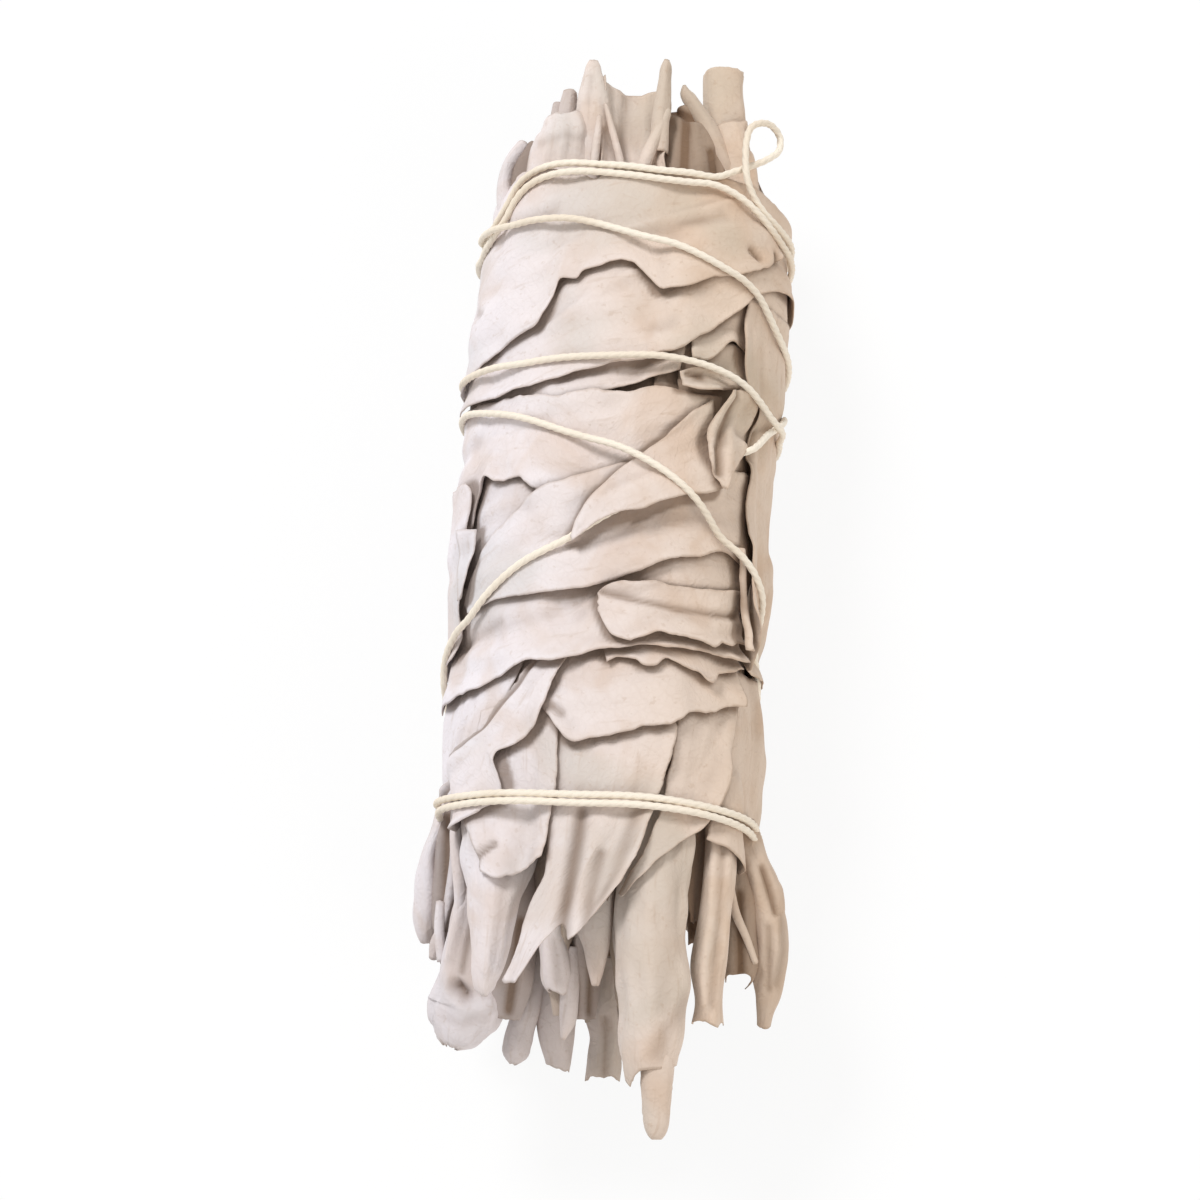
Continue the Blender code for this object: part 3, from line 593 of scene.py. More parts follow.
            ([(33.4, 0), (35.4, 18), (37.2, 34)], -0.15, 0.8, 0),
            ([(37, -64), (36.4, -40), (36, -20)], 0.1, 1.6, 0),
            ([(34.8, 60.8), (33.2, 58), (31.7, 54)], -0.5, 0.45, 0), ([(33.9, 46), (33.4, 49.4)], -0.6, 0.5, 0),
            ([(28.6, -80), (27.4, -68)], -0.3, 0.6, 0),
        ],
        torn="r", lift=(0.3, 0.45, 0, 0),
    ),
]  # fmt: skip

# These lie over a turn of the string.
COVER_LEAVES = [
    leaf(
        "cover_leaf",
        [(2.2, -13), (4.2, -10.6), (6.2, -7), (8.5, 0.6), (12.6, 16.3), (15.6, 25.4), (17.4, 33)],
        [(1.7, -12), (3.6, -3.6), (4.6, 4.1), (4.9, 9.9), (6.0, 16.6), (6.8, 23.8), (7.4, 31.4), (8.3, 37.4)],
        folds=[
            ([(3.4, -9.6), (6.2, -5.6), (8.8, 1.6), (12.9, 17.3), (15.8, 26.4)], 0.2, 0.4, 0),
            ([(6, 0), (8, 10), (10.5, 26)], 0.12, 1.2, 0),
        ],
        lift=(0.3, 1.0, 0.1, 0), ragged=0.05,
    ),
    leaf(
        "crumpled_knob",
        [(19.4, 20), (20.2, 26), (20.6, 36), (20.0, 45.8)],
        [(17.8, 20.4), (17.7, 27), (18.1, 34.6), (18.8, 41), (19.4, 46.6)],
        folds=[
            ([(19.5, 23), (19.5, 28)], -0.5, 0.45, 0), ([(19, 30), (19.4, 36), (19.6, 43)], 0.3, 0.5, 0),
            ([(18.2, 26), (18.4, 33)], 0.2, 0.3, 0),
        ],
        lift=(0.3, 1.4, 0.5, 0.2), wrinkle=0.16, extra=True,
    ),
    leaf(
        "cover_fold",
        [
            (18.2, 37.4), (16.7, 35.1), (15.1, 32.3), (13.5, 30.2), (12.2, 29.6), (11, 29.9), (9.4, 32),
            (8.1, 35.2),
        ],
        [(19.8, 52), (18.6, 56), (16.6, 54.6), (14.1, 50.4), (12.2, 46), (10.6, 41.4), (9, 38), (7.9, 36.8)],
        folds=[
            ([(18.2, 42), (15, 37.6), (12, 33.6), (9.4, 34)], -0.5, 0.5, 0),
            ([(17.6, 38.3), (15, 33.6), (12.2, 30.9), (10, 31.6)], 0.25, 0.3, 0),
            ([(18.6, 48), (15.5, 43), (12, 38), (9, 36)], 0.45, 0.9, 0),
        ],
        lift=(0.3, 0.6, 0.1, 0.1), ragged=0.05,
    ),
]  # fmt: skip


CURLS_ASIDE = -0.45  # mm added to the sideways places of the curls and stems
CURL_WRINKLE_SIZE, CURL_WRINKLE_STRETCH = 1.8, 0.35
CURL_JAG_SIZE = 1.6


def curl(name, *rows, **looks):
    """A leaf, or its tip, bent round an oval. Each row, from -Y to +Y, is (along, left, right, top, depth,
    from, to) in the object's own millimetres: the oval's two sides, its top, its half height, and the angles
    between which the leaf covers it, in degrees from its top towards +X. Where the second is the lower, the
    leaf is a trough, seen from inside.

    first, last: how much is cut off each end, (share of the width, mm) points. folds: as on a leaf, with
    (along, sideways) places. spiral: the share by which the oval shrinks from one edge to the other. inside:
    how dark its inner face is. marks: True where the wrapping leaves lie over it."""
    middles = [
        ((left + right) / 2, along, top - depth, (right - left) / 2, depth, start, end)
        for along, left, right, top, depth, start, end in rows
    ]
    return {"name": name, "rows": middles, **looks}


# The darker tones of the pieces that lie deep among the tips and at the top end, the brown ones most, are
# partly their own browner colour and partly painted shade of the pockets between them.
CURLS = [
    curl(
        "tip_stalked",
        (-48.6, 4.7, 8.9, 24.4, 1.7, -100, 100), (-46.9, 4.2, 9.3, 25.4, 2.1, -112, 110),
        (-44, 3.8, 10.0, 26.5, 2.6, -118, 112), (-41.5, 3.6, 10.2, 27.2, 2.9, -120, 115),
        (-39.7, 3.3, 10.4, 27.5, 3.0, -120, 115), (-37, 3.0, 9.9, 27.9, 3.0, -118, 115),
        (-34, 2.7, 9.6, 28.2, 2.9, -115, 112), (-31, 2.7, 9.8, 28.2, 2.7, -110, 108),
        (-28, 3.0, 10.1, 28.0, 2.4, -100, 100), (-24, 3.4, 9.8, 27.4, 2.2, -90, 90),
        (-20, 3.8, 9.6, 26.9, 2.0, -80, 80),
        first=[(0, 0.8), (0.16, 0.3), (0.22, 0.0), (0.3, 0.7), (0.42, 1.7), (0.6, 1.9), (0.8, 2.1), (1, 2.4)],
        folds=[
            ([(-26, 5.2), (-36, 4.6), (-46, 5.4)], 0.16, 0.7, 0),
            ([(-24, 8.2), (-34, 7.6), (-42, 7.4)], -0.14, 0.9, 0),
            ([(-41, 9.6), (-44, 7.6), (-46, 7.0)], -0.22, 0.8, 0),
        ],
        marks=True,
    ),
    curl(
        "tip_right_folded",
        (-42.7, 10.5, 13.6, 22.6, 1.3, -110, 95), (-40.9, 10.7, 13.4, 23.2, 1.4, -115, 100),
        (-37.8, 10.2, 13.6, 24.0, 1.6, -120, 110), (-35.9, 10.3, 13.7, 24.3, 1.7, -120, 110),
        (-31.8, 10.7, 13.9, 24.7, 1.7, -110, 110), (-27, 10.9, 14.0, 24.7, 1.6, -90, 100),
        (-23.5, 10.6, 13.8, 24.3, 1.5, -75, 100), (-20, 10.2, 13.4, 24.0, 1.4, -60, 95),
        first=[(0, 0.0), (0.3, 0.5), (0.5, 0.6), (0.62, 0.2), (0.75, 0.0), (0.82, 0.5), (1, 0.1)],
        folds=[
            ([(-25, 11.3), (-32, 11.3), (-38, 10.9), (-41, 11.2)], 0.42, 0.35, 0),
            ([(-25, 12.1), (-33, 12.1), (-41, 11.9)], -0.28, 0.4, 0),
        ],
        marks=True,
    ),
    curl(
        "tip_right_outer",
        (-41.7, 16.9, 18.4, 15.4, 0.8, -170, 175), (-40.4, 16.8, 18.6, 16.2, 0.9, -170, 175),
        (-38.6, 16.6, 19.2, 17.3, 1.3, -165, 170), (-36.5, 16.3, 19.6, 18.6, 1.8, -155, 165),
        (-34, 16.2, 19.6, 19.8, 2.1, -140, 160), (-31.5, 15.8, 19.2, 20.6, 2.2, -130, 150),
        (-29, 15.0, 18.5, 21.2, 2.2, -115, 140), (-26.8, 14.0, 17.4, 21.4, 2.0, -100, 130),
        (-23, 12.6, 15.8, 20.8, 1.8, -90, 120),
        folds=[
            ([(-27.5, 16.2), (-29.5, 16.9), (-31.5, 17.6)], -0.6, 0.35, 0),
            ([(-32, 18.3), (-35, 18.6), (-38, 18.1)], -0.22, 0.4, 0),
            ([(-33, 16.9), (-36, 17.2), (-38.5, 17.4)], -0.3, 0.35, 0),
            ([(-29, 18.0), (-31, 18.6)], 0.2, 0.4, 0),
        ],
        first=[(0, 0.3), (0.5, 0), (1, 0.3)],
        wrinkle=0.07, tone=0.17, inside=0.7,
    ),
    curl(
        "tip_left_outer",
        (-35.6, -15.8, -14.9, 15.0, 0.5, -160, 160), (-35.0, -16.2, -14.5, 15.6, 0.9, -155, 155),
        (-33.6, -16.7, -13.9, 16.6, 1.4, -150, 150), (-31, -16.8, -13.8, 17.8, 1.8, -145, 130),
        (-29.2, -16.7, -14.2, 18.4, 2.0, -140, 110), (-27.4, -16.3, -14.5, 18.9, 2.0, -135, 100),
        (-25.4, -15.6, -14.0, 19.2, 2.0, -125, 95), (-22, -15.0, -12.8, 19.2, 2.0, -115, 90),
        folds=[([(-27, -15.6), (-33, -15.9)], 0.15, 0.5, 0)],
        tone=0.04, inside=0.6,
    ),
    curl(
        "brown_tip_left_side",
        (-34.5, -14.6, -11.4, 17.6, 1.6, -90, 90), (-31, -15.4, -10.6, 18.8, 2.0, -90, 90),
        (-27, -15.4, -10.2, 19.6, 2.0, -90, 90), (-22, -14.6, -9.6, 20.2, 2.0, -90, 90),
        folds=[([(-24, -14.2), (-32, -13.8)], -0.3, 0.5, 0)],
        tone=0.68, extra=True,
    ),
    curl(
        "left_grey_strip",
        (-37.3, -14.9, -14.1, 16.6, 0.4, -90, 90), (-36.2, -14.9, -13.4, 17.3, 0.6, -90, 90),
        (-34, -14.1, -12.9, 18.2, 0.8, -95, 90), (-31, -13.7, -12.4, 19.0, 0.9, -95, 90),
        (-27, -13.5, -12.0, 19.6, 0.8, -95, 90), (-22, -13.2, -11.6, 20.2, 0.8, -90, 90),
        folds=[([(-32, -12.9), (-36, -13.9)], -0.3, 0.25, 0)],
        tone=0.2, extra=True,
    ),
    curl(
        "left_light_strip",
        (-38.8, -13.3, -12.5, 19.4, 0.4, -100, 100), (-36, -13.0, -12.0, 20.2, 0.5, -105, 100),
        (-33, -12.5, -11.3, 21.3, 0.6, -105, 100), (-30, -12.8, -11.5, 22.2, 0.7, -100, 95),
        (-27, -13.3, -12.0, 22.6, 0.7, -95, 90), (-22, -13.4, -11.6, 22.6, 0.7, -90, 90),
        tone=-0.02, extra=True,
    ),
    curl(
        "left_tongue_leaf",
        (-41.5, -9.1, -8.6, 24.6, 0.4, -150, 150), (-41.0, -9.7, -8.1, 25.1, 0.8, -145, 145),
        (-39.9, -10.2, -7.6, 25.6, 1.3, -140, 140), (-37.2, -10.4, -6.8, 26.2, 1.9, -130, 130),
        (-34.4, -10.8, -6.3, 26.6, 2.3, -120, 120), (-31.6, -11.3, -5.6, 26.7, 2.5, -110, 105),
        (-28.2, -11.9, -4.6, 26.4, 2.5, -95, 95), (-24, -12.3, -4.2, 25.8, 2.4, -85, 85),
        (-20, -12.6, -4.0, 25.4, 2.3, -80, 80),
        folds=[
            ([(-24, -10.2), (-32, -9.7), (-39.5, -9.3)], 0.22, 0.35, 0),
            ([(-30, -8.2), (-38, -8.5)], -0.12, 0.6, 0),
        ],
        marks=True,
    ),
    curl(
        "tip_left_roll",
        (-45.8, -12.8, -11.6, 17.4, 0.4, -160, 160), (-45.3, -13.5, -10.6, 18.0, 1.1, -160, 150),
        (-44.4, -14.2, -9.2, 18.6, 1.7, -158, 140), (-43.1, -14.7, -8.0, 19.1, 2.1, -155, 130),
        (-41.8, -14.6, -7.2, 19.4, 2.2, -150, 120), (-40.4, -14.2, -7.4, 19.8, 2.1, -140, 110),
        (-38, -13.6, -8.4, 20.4, 1.9, -120, 95), (-33, -12.7, -8.8, 21.3, 1.5, -100, 90),
        (-28, -12.0, -8.6, 21.8, 1.4, -90, 90),
        folds=[
            ([(-40.2, -12.2), (-40.9, -11.3)], -1.3, 0.55, 0),
            ([(-39.2, -13.2), (-41.6, -12.6), (-42.4, -10.8), (-41.2, -8.6)], 0.3, 0.5, 0),
            ([(-43.0, -13.4), (-43.6, -11.6), (-43.0, -9.4)], -0.14, 0.5, 0),
            ([(-34, -11.0), (-38.8, -11.8)], -0.35, 0.35, 0), ([(-36, -9.8), (-40.6, -9.6)], -0.3, 0.4, 0),
            ([(-33, -12.2), (-37.6, -13.0)], 0.25, 0.35, 0),
        ],
        first=[(0, 0.2), (0.5, 0), (1, 0.2)],
        tone=0.16, wrinkle=0.06, inside=0.6, spiral=0.02,
    ),
    curl(
        "tip_under_centre",
        (-39.9, 1.0, 1.7, 24.4, 0.4, -85, 90), (-38.3, 0.5, 2.2, 25.0, 0.6, -90, 90),
        (-36.5, 0.0, 2.6, 25.5, 0.8, -95, 90), (-34, -0.9, 2.8, 26.0, 0.9, -95, 90),
        (-30, -1.0, 2.9, 26.2, 0.9, -90, 90),
        tone=0.06, extra=True,
    ),
    curl(
        "rolled_leaf_middle",
        (-40.7, -2.7, -0.9, 21.8, 0.8, -165, 170), (-39.4, -3.6, -0.8, 22.5, 1.3, -165, 170),
        (-37.6, -4.0, -1.1, 23.2, 1.5, -160, 165), (-35.4, -4.3, -1.7, 23.6, 1.5, -160, 160),
        (-31, -4.1, -1.9, 24.0, 1.4, -150, 150),
        first=[(0, 0.3), (0.35, 0.9), (0.5, 0.0), (0.75, 0.3), (1, 0.2)],
        folds=[([(-36, -3.2), (-39.5, -2.6)], -0.2, 0.4, 0)],
        inside=0.85,
    ),
    curl(
        "rolled_leaf_middle",
        (-44.6, -1.7, -1.2, 20.2, 0.3, -150, 150), (-42.9, -1.9, -0.3, 20.9, 0.7, -150, 150),
        (-41.0, -2.0, -0.1, 21.6, 0.9, -140, 140), (-36, -2.2, -0.4, 22.2, 0.9, -120, 120),
        inside=0.6,
    ),
    curl(
        "brown_tip_middle",
        (-42.4, -0.6, 1.7, 20.0, 1.0, -95, 95), (-38, -1.0, 2.0, 21.6, 1.3, -95, 95),
        (-33, -1.4, 2.4, 22.6, 1.3, -90, 90), (-28, -1.4, 2.4, 23.0, 1.3, -90, 90),
        folds=[([(-34, 0.2), (-42, 0.5)], -0.35, 0.4, 0)],
        tone=0.45, extra=True,
    ),
    curl(
        "brown_tip_left",
        (-42.6, -8.6, -5.6, 18.4, 1.0, -95, 95), (-39.6, -9.0, -4.6, 20.0, 1.6, -95, 95),
        (-35, -9.4, -4.4, 21.6, 1.9, -90, 90), (-28, -9.4, -4.4, 22.6, 1.9, -90, 90),
        folds=[([(-34, -6.4), (-42, -7.2)], -0.35, 0.5, 0)],
        tone=0.6, extra=True,
    ),
    curl(
        "brown_tip_behind_roll",
        (-42.4, -11.6, -7.4, 16.8, 1.0, -95, 95), (-39, -12.6, -7.4, 18.2, 1.4, -95, 95),
        (-33, -12.6, -7.4, 19.6, 1.6, -95, 95), (-28, -12.2, -7.4, 20.4, 1.6, -90, 90),
        folds=[([(-34, -10.0), (-42, -9.6)], -0.35, 0.5, 0)],
        tone=0.62, extra=True,
    ),
    curl(
        "brown_tip_right",
        (-38.6, 13.6, 15.4, 18.2, 1.0, -95, 95), (-37.2, 13.4, 16.6, 18.8, 1.3, -95, 95),
        (-34, 13.0, 16.8, 20.0, 1.7, -95, 95), (-29, 12.6, 16.4, 21.0, 1.8, -95, 95),
        (-23, 12.0, 15.6, 21.2, 1.8, -90, 90),
        first=[(0, 0.2), (0.3, 1.2), (0.6, 1.7), (0.8, 1.4), (1, 0.4)],
        folds=[([(-30, 14.0), (-38, 14.6)], -0.35, 0.4, 0)],
        tone=0.62, extra=True,
    ),
    curl(
        "thin_strip_right",
        (-36.3, 16.1, 16.7, 19.3, 0.25, -95, 95), (-34, 14.9, 15.7, 20.6, 0.35, -95, 95),
        (-32, 13.8, 14.7, 21.6, 0.4, -95, 95), (-28, 12.6, 13.6, 22.4, 0.4, -90, 90),
        extra=True,
    ),
    curl(
        "tip_of_left_sprig",
        (-46.7, -6.5, -5.9, 14.4, 0.4, -160, 160), (-46.1, -7.1, -5.1, 14.9, 0.9, -150, 150),
        (-44.6, -7.3, -4.5, 15.6, 1.3, -130, 130), (-42.1, -6.7, -3.9, 16.6, 1.4, -110, 110),
        (-38, -6.4, -3.2, 17.6, 1.5, -100, 100), (-32, -6.4, -3.2, 18.4, 1.5, -95, 95),
        tone=0.3, extra=True,
    ),
    curl(
        "tip_of_upper_left_sprig",
        (-47.1, -2.8, -0.7, 13.8, 0.7, -95, 95), (-45.6, -3.3, -0.5, 14.4, 0.9, -95, 95),
        (-44.2, -3.9, -0.4, 15.2, 1.1, -95, 95), (-41, -4.4, -0.2, 16.4, 1.3, -95, 95),
        (-36, -4.6, 0, 17.6, 1.4, -90, 90),
        first=[(0, 1.0), (0.3, 0.7), (0.6, 0.2), (0.9, 0), (1, 0.3)],
        folds=[([(-42, -2.6), (-46, -1.6)], 0.2, 0.4, 0)],
        tone=0.3, extra=True,
    ),
    curl(
        "tip_of_middle_sprig",
        (-47.8, 0.9, 4.3, 14.0, 0.8, -95, 95), (-45.5, 0.9, 4.2, 14.8, 1.0, -95, 95),
        (-43.6, 1.0, 4.0, 15.6, 1.1, -95, 95), (-41.5, 0.3, 3.7, 16.4, 1.2, -95, 95),
        (-36, -0.2, 3.4, 17.4, 1.3, -90, 90),
        first=[(0, 0), (0.12, 0.1), (0.25, 0.6), (0.5, 0.5), (0.62, 0.8), (0.8, 0.3), (0.93, 0.1), (1, 0.6)],
        folds=[([(-42, 2.0), (-47, 2.2)], -0.25, 0.4, 0)],
        tone=0.3, extra=True,
    ),
    curl(
        "top_end_left",
        (36, -12.6, -10.2, 19.8, 1.8, -120, 90), (39.6, -13.4, -11.4, 20.0, 1.7, -125, 90),
        (42, -13.6, -11.8, 19.8, 1.5, -125, 90), (44.2, -13.3, -11.6, 19.4, 1.3, -125, 90),
        (46, -12.6, -10.8, 19.0, 1.1, -120, 90), (47.2, -11.8, -10.0, 18.7, 0.9, -110, 90),
        last=[(0, 0.5), (0.5, 0), (1, 0.5)],
        tone=0.1, inside=0.6,
    ),
    curl(
        "brown_top_left",
        (38, -12.4, -8.6, 20.4, 1.7, -90, 90), (43, -12.2, -8.6, 20.0, 1.7, -90, 90),
        (45.8, -11.4, -8.6, 19.4, 1.5, -90, 90), (47, -10.8, -8.8, 19.0, 1.3, -90, 90),
        tone=0.85, extra=True,
    ),
    curl(
        "top_end_lobe",
        (37, -11.0, -2.9, 25.2, 2.8, -90, 75), (41, -10.6, -2.9, 24.9, 2.8, -92, 78),
        (43.6, -10.2, -2.9, 24.9, 2.8, -95, 80), (45.8, -9.9, -3.0, 24.8, 2.7, -98, 82),
        (47.4, -9.6, -4.0, 24.5, 2.4, -100, 85), (48.3, -9.2, -5.2, 24.2, 2.0, -105, 90),
        (48.9, -8.3, -6.3, 23.7, 1.3, -110, 95),
        folds=[([(44.6, -9.6), (45.3, -7), (45.0, -4)], -0.15, 0.5, 0)],
        last=[(0, 1.0), (0.2, 0.2), (0.42, 0), (0.7, 0.5), (0.88, 1.3), (1, 2.0)],
        marks=True, inside=0.5,
    ),
    curl(
        "top_end_point",
        (38, -6.2, -1.4, 24.8, 1.9, -90, 90), (43, -6.2, -1.6, 24.5, 1.9, -92, 92),
        (46, -6.1, -1.9, 24.2, 1.9, -95, 95), (48.5, -5.9, -2.1, 23.9, 1.8, -100, 100),
        (50.5, -5.8, -2.4, 23.5, 1.6, -108, 105), (52, -5.6, -2.8, 23.0, 1.4, -118, 110),
        (53.8, -5.4, -3.3, 22.4, 1.1, -130, 120), (54.9, -5.1, -3.6, 22.0, 0.8, -140, 130),
        (55.4, -4.8, -3.9, 21.8, 0.5, -150, 140),
        folds=[
            ([(47, -3.0), (50, -3.3), (53, -4.0)], 0.15, 0.5, 0), ([(49.5, -5.0), (53, -4.9)], -0.15, 0.3, 0),
        ],
        extra=True,
    ),
    curl(
        "top_end_curl",
        (44, -7.8, -5.8, 22.8, 0.9, -160, 170), (48, -7.8, -5.8, 22.2, 1.0, -160, 170),
        (50.5, -7.6, -5.7, 21.8, 1.0, -160, 172), (52.0, -7.3, -5.8, 21.6, 0.8, -165, 172),
        inside=0.8, tone=0.3, extra=True,
    ),
    curl(
        "top_end_small_curl",
        (44, -8.6, -7.2, 21.8, 0.7, -160, 170), (48.4, -8.6, -7.2, 21.4, 0.8, -160, 170),
        (50.7, -8.3, -7.1, 21.0, 0.7, -165, 172),
        inside=0.8, tone=0.42, extra=True,
    ),
    curl(
        "top_end_middle",
        (36, -2.6, 3.6, 29.6, 1.9, -95, -262), (40, -2.7, 3.7, 28.6, 2.0, -95, -262),
        (43, -2.7, 3.7, 27.6, 2.0, -95, -262), (46, -2.8, 3.9, 26.4, 2.2, -95, -262),
        (50, -3.0, 4.0, 25.6, 2.4, -95, -262), (54.4, -3.2, 4.0, 24.8, 2.5, -92, -265),
        last=[
            (0, 0.9), (0.2, 1.3), (0.4, 1.7), (0.6, 1.7), (0.74, 1.3), (0.8, 0.4), (0.86, 0.0), (0.95, 0.1),
            (1, 0.4),
        ],
        folds=[
            ([(43, 2.4), (49, 3.0), (54, 3.1)], 0.3, 0.3, 0), ([(44, -1.4), (52, -1.2)], -0.25, 0.5, 0),
            ([(44, 0.2), (52, 0.9)], 0.2, 0.9, 0),
        ],
        inside=0.0,
    ),
    curl(
        "top_end_right_point",
        (44, 1.9, 3.9, 25.0, 0.9, -95, 95), (47.5, 1.9, 3.9, 24.6, 0.9, -100, 100),
        (50.5, 2.1, 3.9, 24.0, 0.9, -105, 105), (53, 2.4, 3.8, 23.6, 0.8, -115, 115),
        (54.6, 2.6, 3.7, 23.3, 0.6, -130, 130), (55.2, 2.9, 3.4, 23.1, 0.3, -140, 140),
        folds=[([(48, 2.9), (54, 3.1)], -0.15, 0.3, 0)],
        tone=0.05, extra=True,
    ),
    curl(
        "stem_strip_light",
        (40.5, 0.3, 1.8, 26.2, 0.7, -95, 95), (43.6, 1.1, 2.5, 25.6, 0.8, -95, 95),
        (46.5, 2.0, 3.3, 24.8, 0.8, -100, 100), (49, 2.8, 3.9, 24.0, 0.7, -105, 105),
        (49.9, 3.1, 3.8, 23.6, 0.4, -110, 110),
        folds=[([(42, 1.3), (49, 3.2)], 0.12, 0.3, 0)],
        tone=-0.02, extra=True,
    ),
    curl(
        "stem_strip_left",
        (40.5, -0.9, 0.1, 25.9, 0.4, -95, 95), (44, -1.7, -0.9, 25.4, 0.45, -95, 95),
        (47, -2.5, -1.8, 24.7, 0.4, -100, 100), (49.4, -3.0, -2.6, 24.1, 0.25, -100, 100),
        tone=-0.02, extra=True,
    ),
    curl(
        "stem_strip_thin",
        (40.5, -4.0, -3.1, 26.4, 0.4, -95, 95), (44, -3.9, -3.0, 25.8, 0.5, -95, 95),
        (47.6, -3.6, -3.0, 25.2, 0.4, -95, 95),
        tone=0.04, extra=True,
    ),
    curl(
        "stem_strip_brown",
        (38, 2.6, 10.0, 24.6, 1.8, -85, 85), (43, 3.0, 9.8, 24.2, 1.8, -85, 85),
        (47, 3.2, 8.8, 23.0, 1.6, -85, 85), (49.4, 3.2, 7.8, 22.0, 1.4, -85, 85),
        (50.6, 3.2, 7.0, 21.4, 1.2, -85, 85),
        folds=[
            ([(50.3, 3.6), (49.2, 5.8)], -0.9, 0.45, 0), ([(40, 5.0), (45, 5.0), (49, 5.0)], -0.4, 0.4, 0),
            ([(40, 6.8), (44, 6.6), (48, 6.0)], 0.35, 0.5, 0), ([(41, 8.4), (45, 7.8)], -0.4, 0.4, 0),
        ],
        tone=0.68, extra=True,
    ),
    curl(
        "stem_strip_inner",
        (41.4, 9.3, 11.4, 22.6, 0.8, -100, 100), (43, 9.0, 11.2, 22.8, 0.9, -100, 100),
        (46, 7.9, 10.0, 22.8, 0.9, -100, 100), (49, 6.5, 8.4, 22.4, 0.9, -100, 100),
        (51, 5.4, 6.9, 22.0, 0.8, -105, 105), (52.6, 4.7, 5.8, 21.4, 0.6, -110, 110),
        (53.4, 4.9, 5.3, 21.0, 0.3, -120, 120),
        folds=[([(44, 9.4), (49, 7.0), (52, 5.4)], 0.2, 0.4, 0)],
        tone=0.2, inside=0.8, extra=True,
    ),
    curl(
        "top_end_right",
        (37, 9.6, 13.8, 22.8, 2.4, -60, 95), (41, 9.4, 13.6, 23.0, 2.4, -60, 95),
        (44, 9.0, 13.0, 23.1, 2.2, -65, 95), (46.6, 8.7, 12.4, 22.9, 2.0, -70, 95),
        (48.4, 8.4, 12.1, 22.5, 1.8, -75, 95), (49.4, 8.3, 12.0, 22.2, 1.6, -80, 95),
        last=[(0, 0.6), (0.3, 0.5), (0.55, 0.7), (0.75, 0.1), (0.9, 0.0), (1, 0.4)],
        folds=[
            ([(41, 11.4), (45, 11.0), (49, 10.0)], 0.2, 0.5, 0), ([(46.4, 11.7), (48.6, 11.5)], -0.4, 0.3, 0),
        ],
        tone=0.06, inside=0.6,
    ),
]  # fmt: skip
# Woody stems that show: (along, sideways, up, radius) in the object's own millimetres.
STEMS = {
    "tip_stalked": [
        (-53.5, 7.8, 22.6, 0.5), (-53.1, 7.78, 22.6, 0.85), (-52.5, 7.72, 22.7, 1.1), (-51.2, 7.62, 22.8, 1.3),
        (-49.2, 7.55, 23.2, 1.48), (-47, 7.5, 23.6, 1.62), (-44, 7.3, 24.2, 1.6),
    ],
    "cut_stem": [
        (40, 9.6, 19.0, 2.2), (46, 9.8, 19.4, 2.2), (50, 9.5, 19.4, 2.15), (53, 9.2, 19.3, 2.1),
        (55.5, 9.1, 19.2, 2.1),
    ],
}  # fmt: skip


TORN_DETAIL = 4  # straight pieces are sampled so many times finer, then smoothed over as many samples each way


def edge_line(points, torn, rows):
    """An edge's places on the flat plane: a smooth curve, or straight pieces rounded a little where it is
    torn."""
    points = flat(points)
    reached = travelled(points)
    at = np.linspace(0, reached[-1], rows + 1)
    if not torn:
        return curve_through(points, at)
    finely = np.linspace(0, reached[-1], rows * TORN_DETAIL + 1)
    line = np.stack([np.interp(finely, reached, points[:, k]) for k in (0, 1)], axis=-1)
    soft = np.pad(line, ((TORN_DETAIL, TORN_DETAIL), (0, 0)), mode="edge")
    line = np.mean([soft[k : k + len(line)] for k in range(2 * TORN_DETAIL + 1)], axis=0)
    return line[::TORN_DETAIL]


def spread_leaf(spec):
    """A leaf's grid on the flat plane, from base to tip and from left edge to right edge.

    Straight lines join the edges. The tip then moves out along the leaf by what its points say, and all four
    rims by a little ragged noise; both movements fade away inside the rim as bell curves."""
    seed = spec["seed"]
    step = spec.get("step", STEP)
    torn = spec.get("torn", "")
    draft = [edge_line(edge, False, 8) for edge in spec["edges"]]
    length = max(travelled(line)[-1] for line in draft)
    width = np.linalg.norm(draft[1] - draft[0], axis=1).max()
    rows, columns = max(8, round(length / step)), max(6, round(width / step))
    left, right = (edge_line(edge, side in torn, rows) for edge, side in zip(spec["edges"], "lr"))
    share = np.linspace(0, 1, columns + 1)[None, :]
    along = np.linspace(0, length, rows + 1)[:, None]
    plane = left[:, None] * (1 - share[..., None]) + right[:, None] * share[..., None]
    widths = np.linalg.norm(right - left, axis=1)[:, None]
    to_left, to_right = share * widths, (1 - share) * widths
    to_base, to_tip = along + 0 * share, length - along + 0 * share
    sideways = (right - left)[:, None] / np.maximum(widths, 1e-6)[..., None]
    lengthways = unit(np.gradient(plane, axis=0))
    ragged = spec.get("ragged", 0.08)
    reach = np.minimum(EDGE_REACH, widths / 4) + 0.05
    for side, distance, way, more in (("l", to_left, -1, 2), ("r", to_right, 1, 3)):
        jag = ripple(along, 0 * along, JAG_SIZE, seed + more)
        jag = jag + FINE_JAG_SHARE * ripple(along, 0 * along, FINE_JAG_SIZE, seed + more + 5)
        strength = ragged * (TORN_JAG if side in torn else 1)
        plane = plane + sideways * (way * strength * jag * np.exp(-((distance / reach) ** 2)))[..., None]
    past_tip = table(spec.get("tip", [(0, 0), (1, 0)]), share)
    for past, distance, way, more in ((past_tip, to_tip, 1, 4), (0, to_base, -1, 5)):
        jag = ripple(share * widths.max(), 0 * share, END_JAG_SIZE, seed + more)
        out = past + ragged * jag * END_JAG_SHARE
        plane = plane + lengthways * (way * out * np.exp(-((distance / END_REACH) ** 2)))[..., None]
    return {
        "plane": plane,
        "distances": (to_left, to_right, to_base, to_tip),
        "across": (share - 0.5) * widths,
        "along": along + 0 * share,
        "width": widths,
        "length": length,
    }


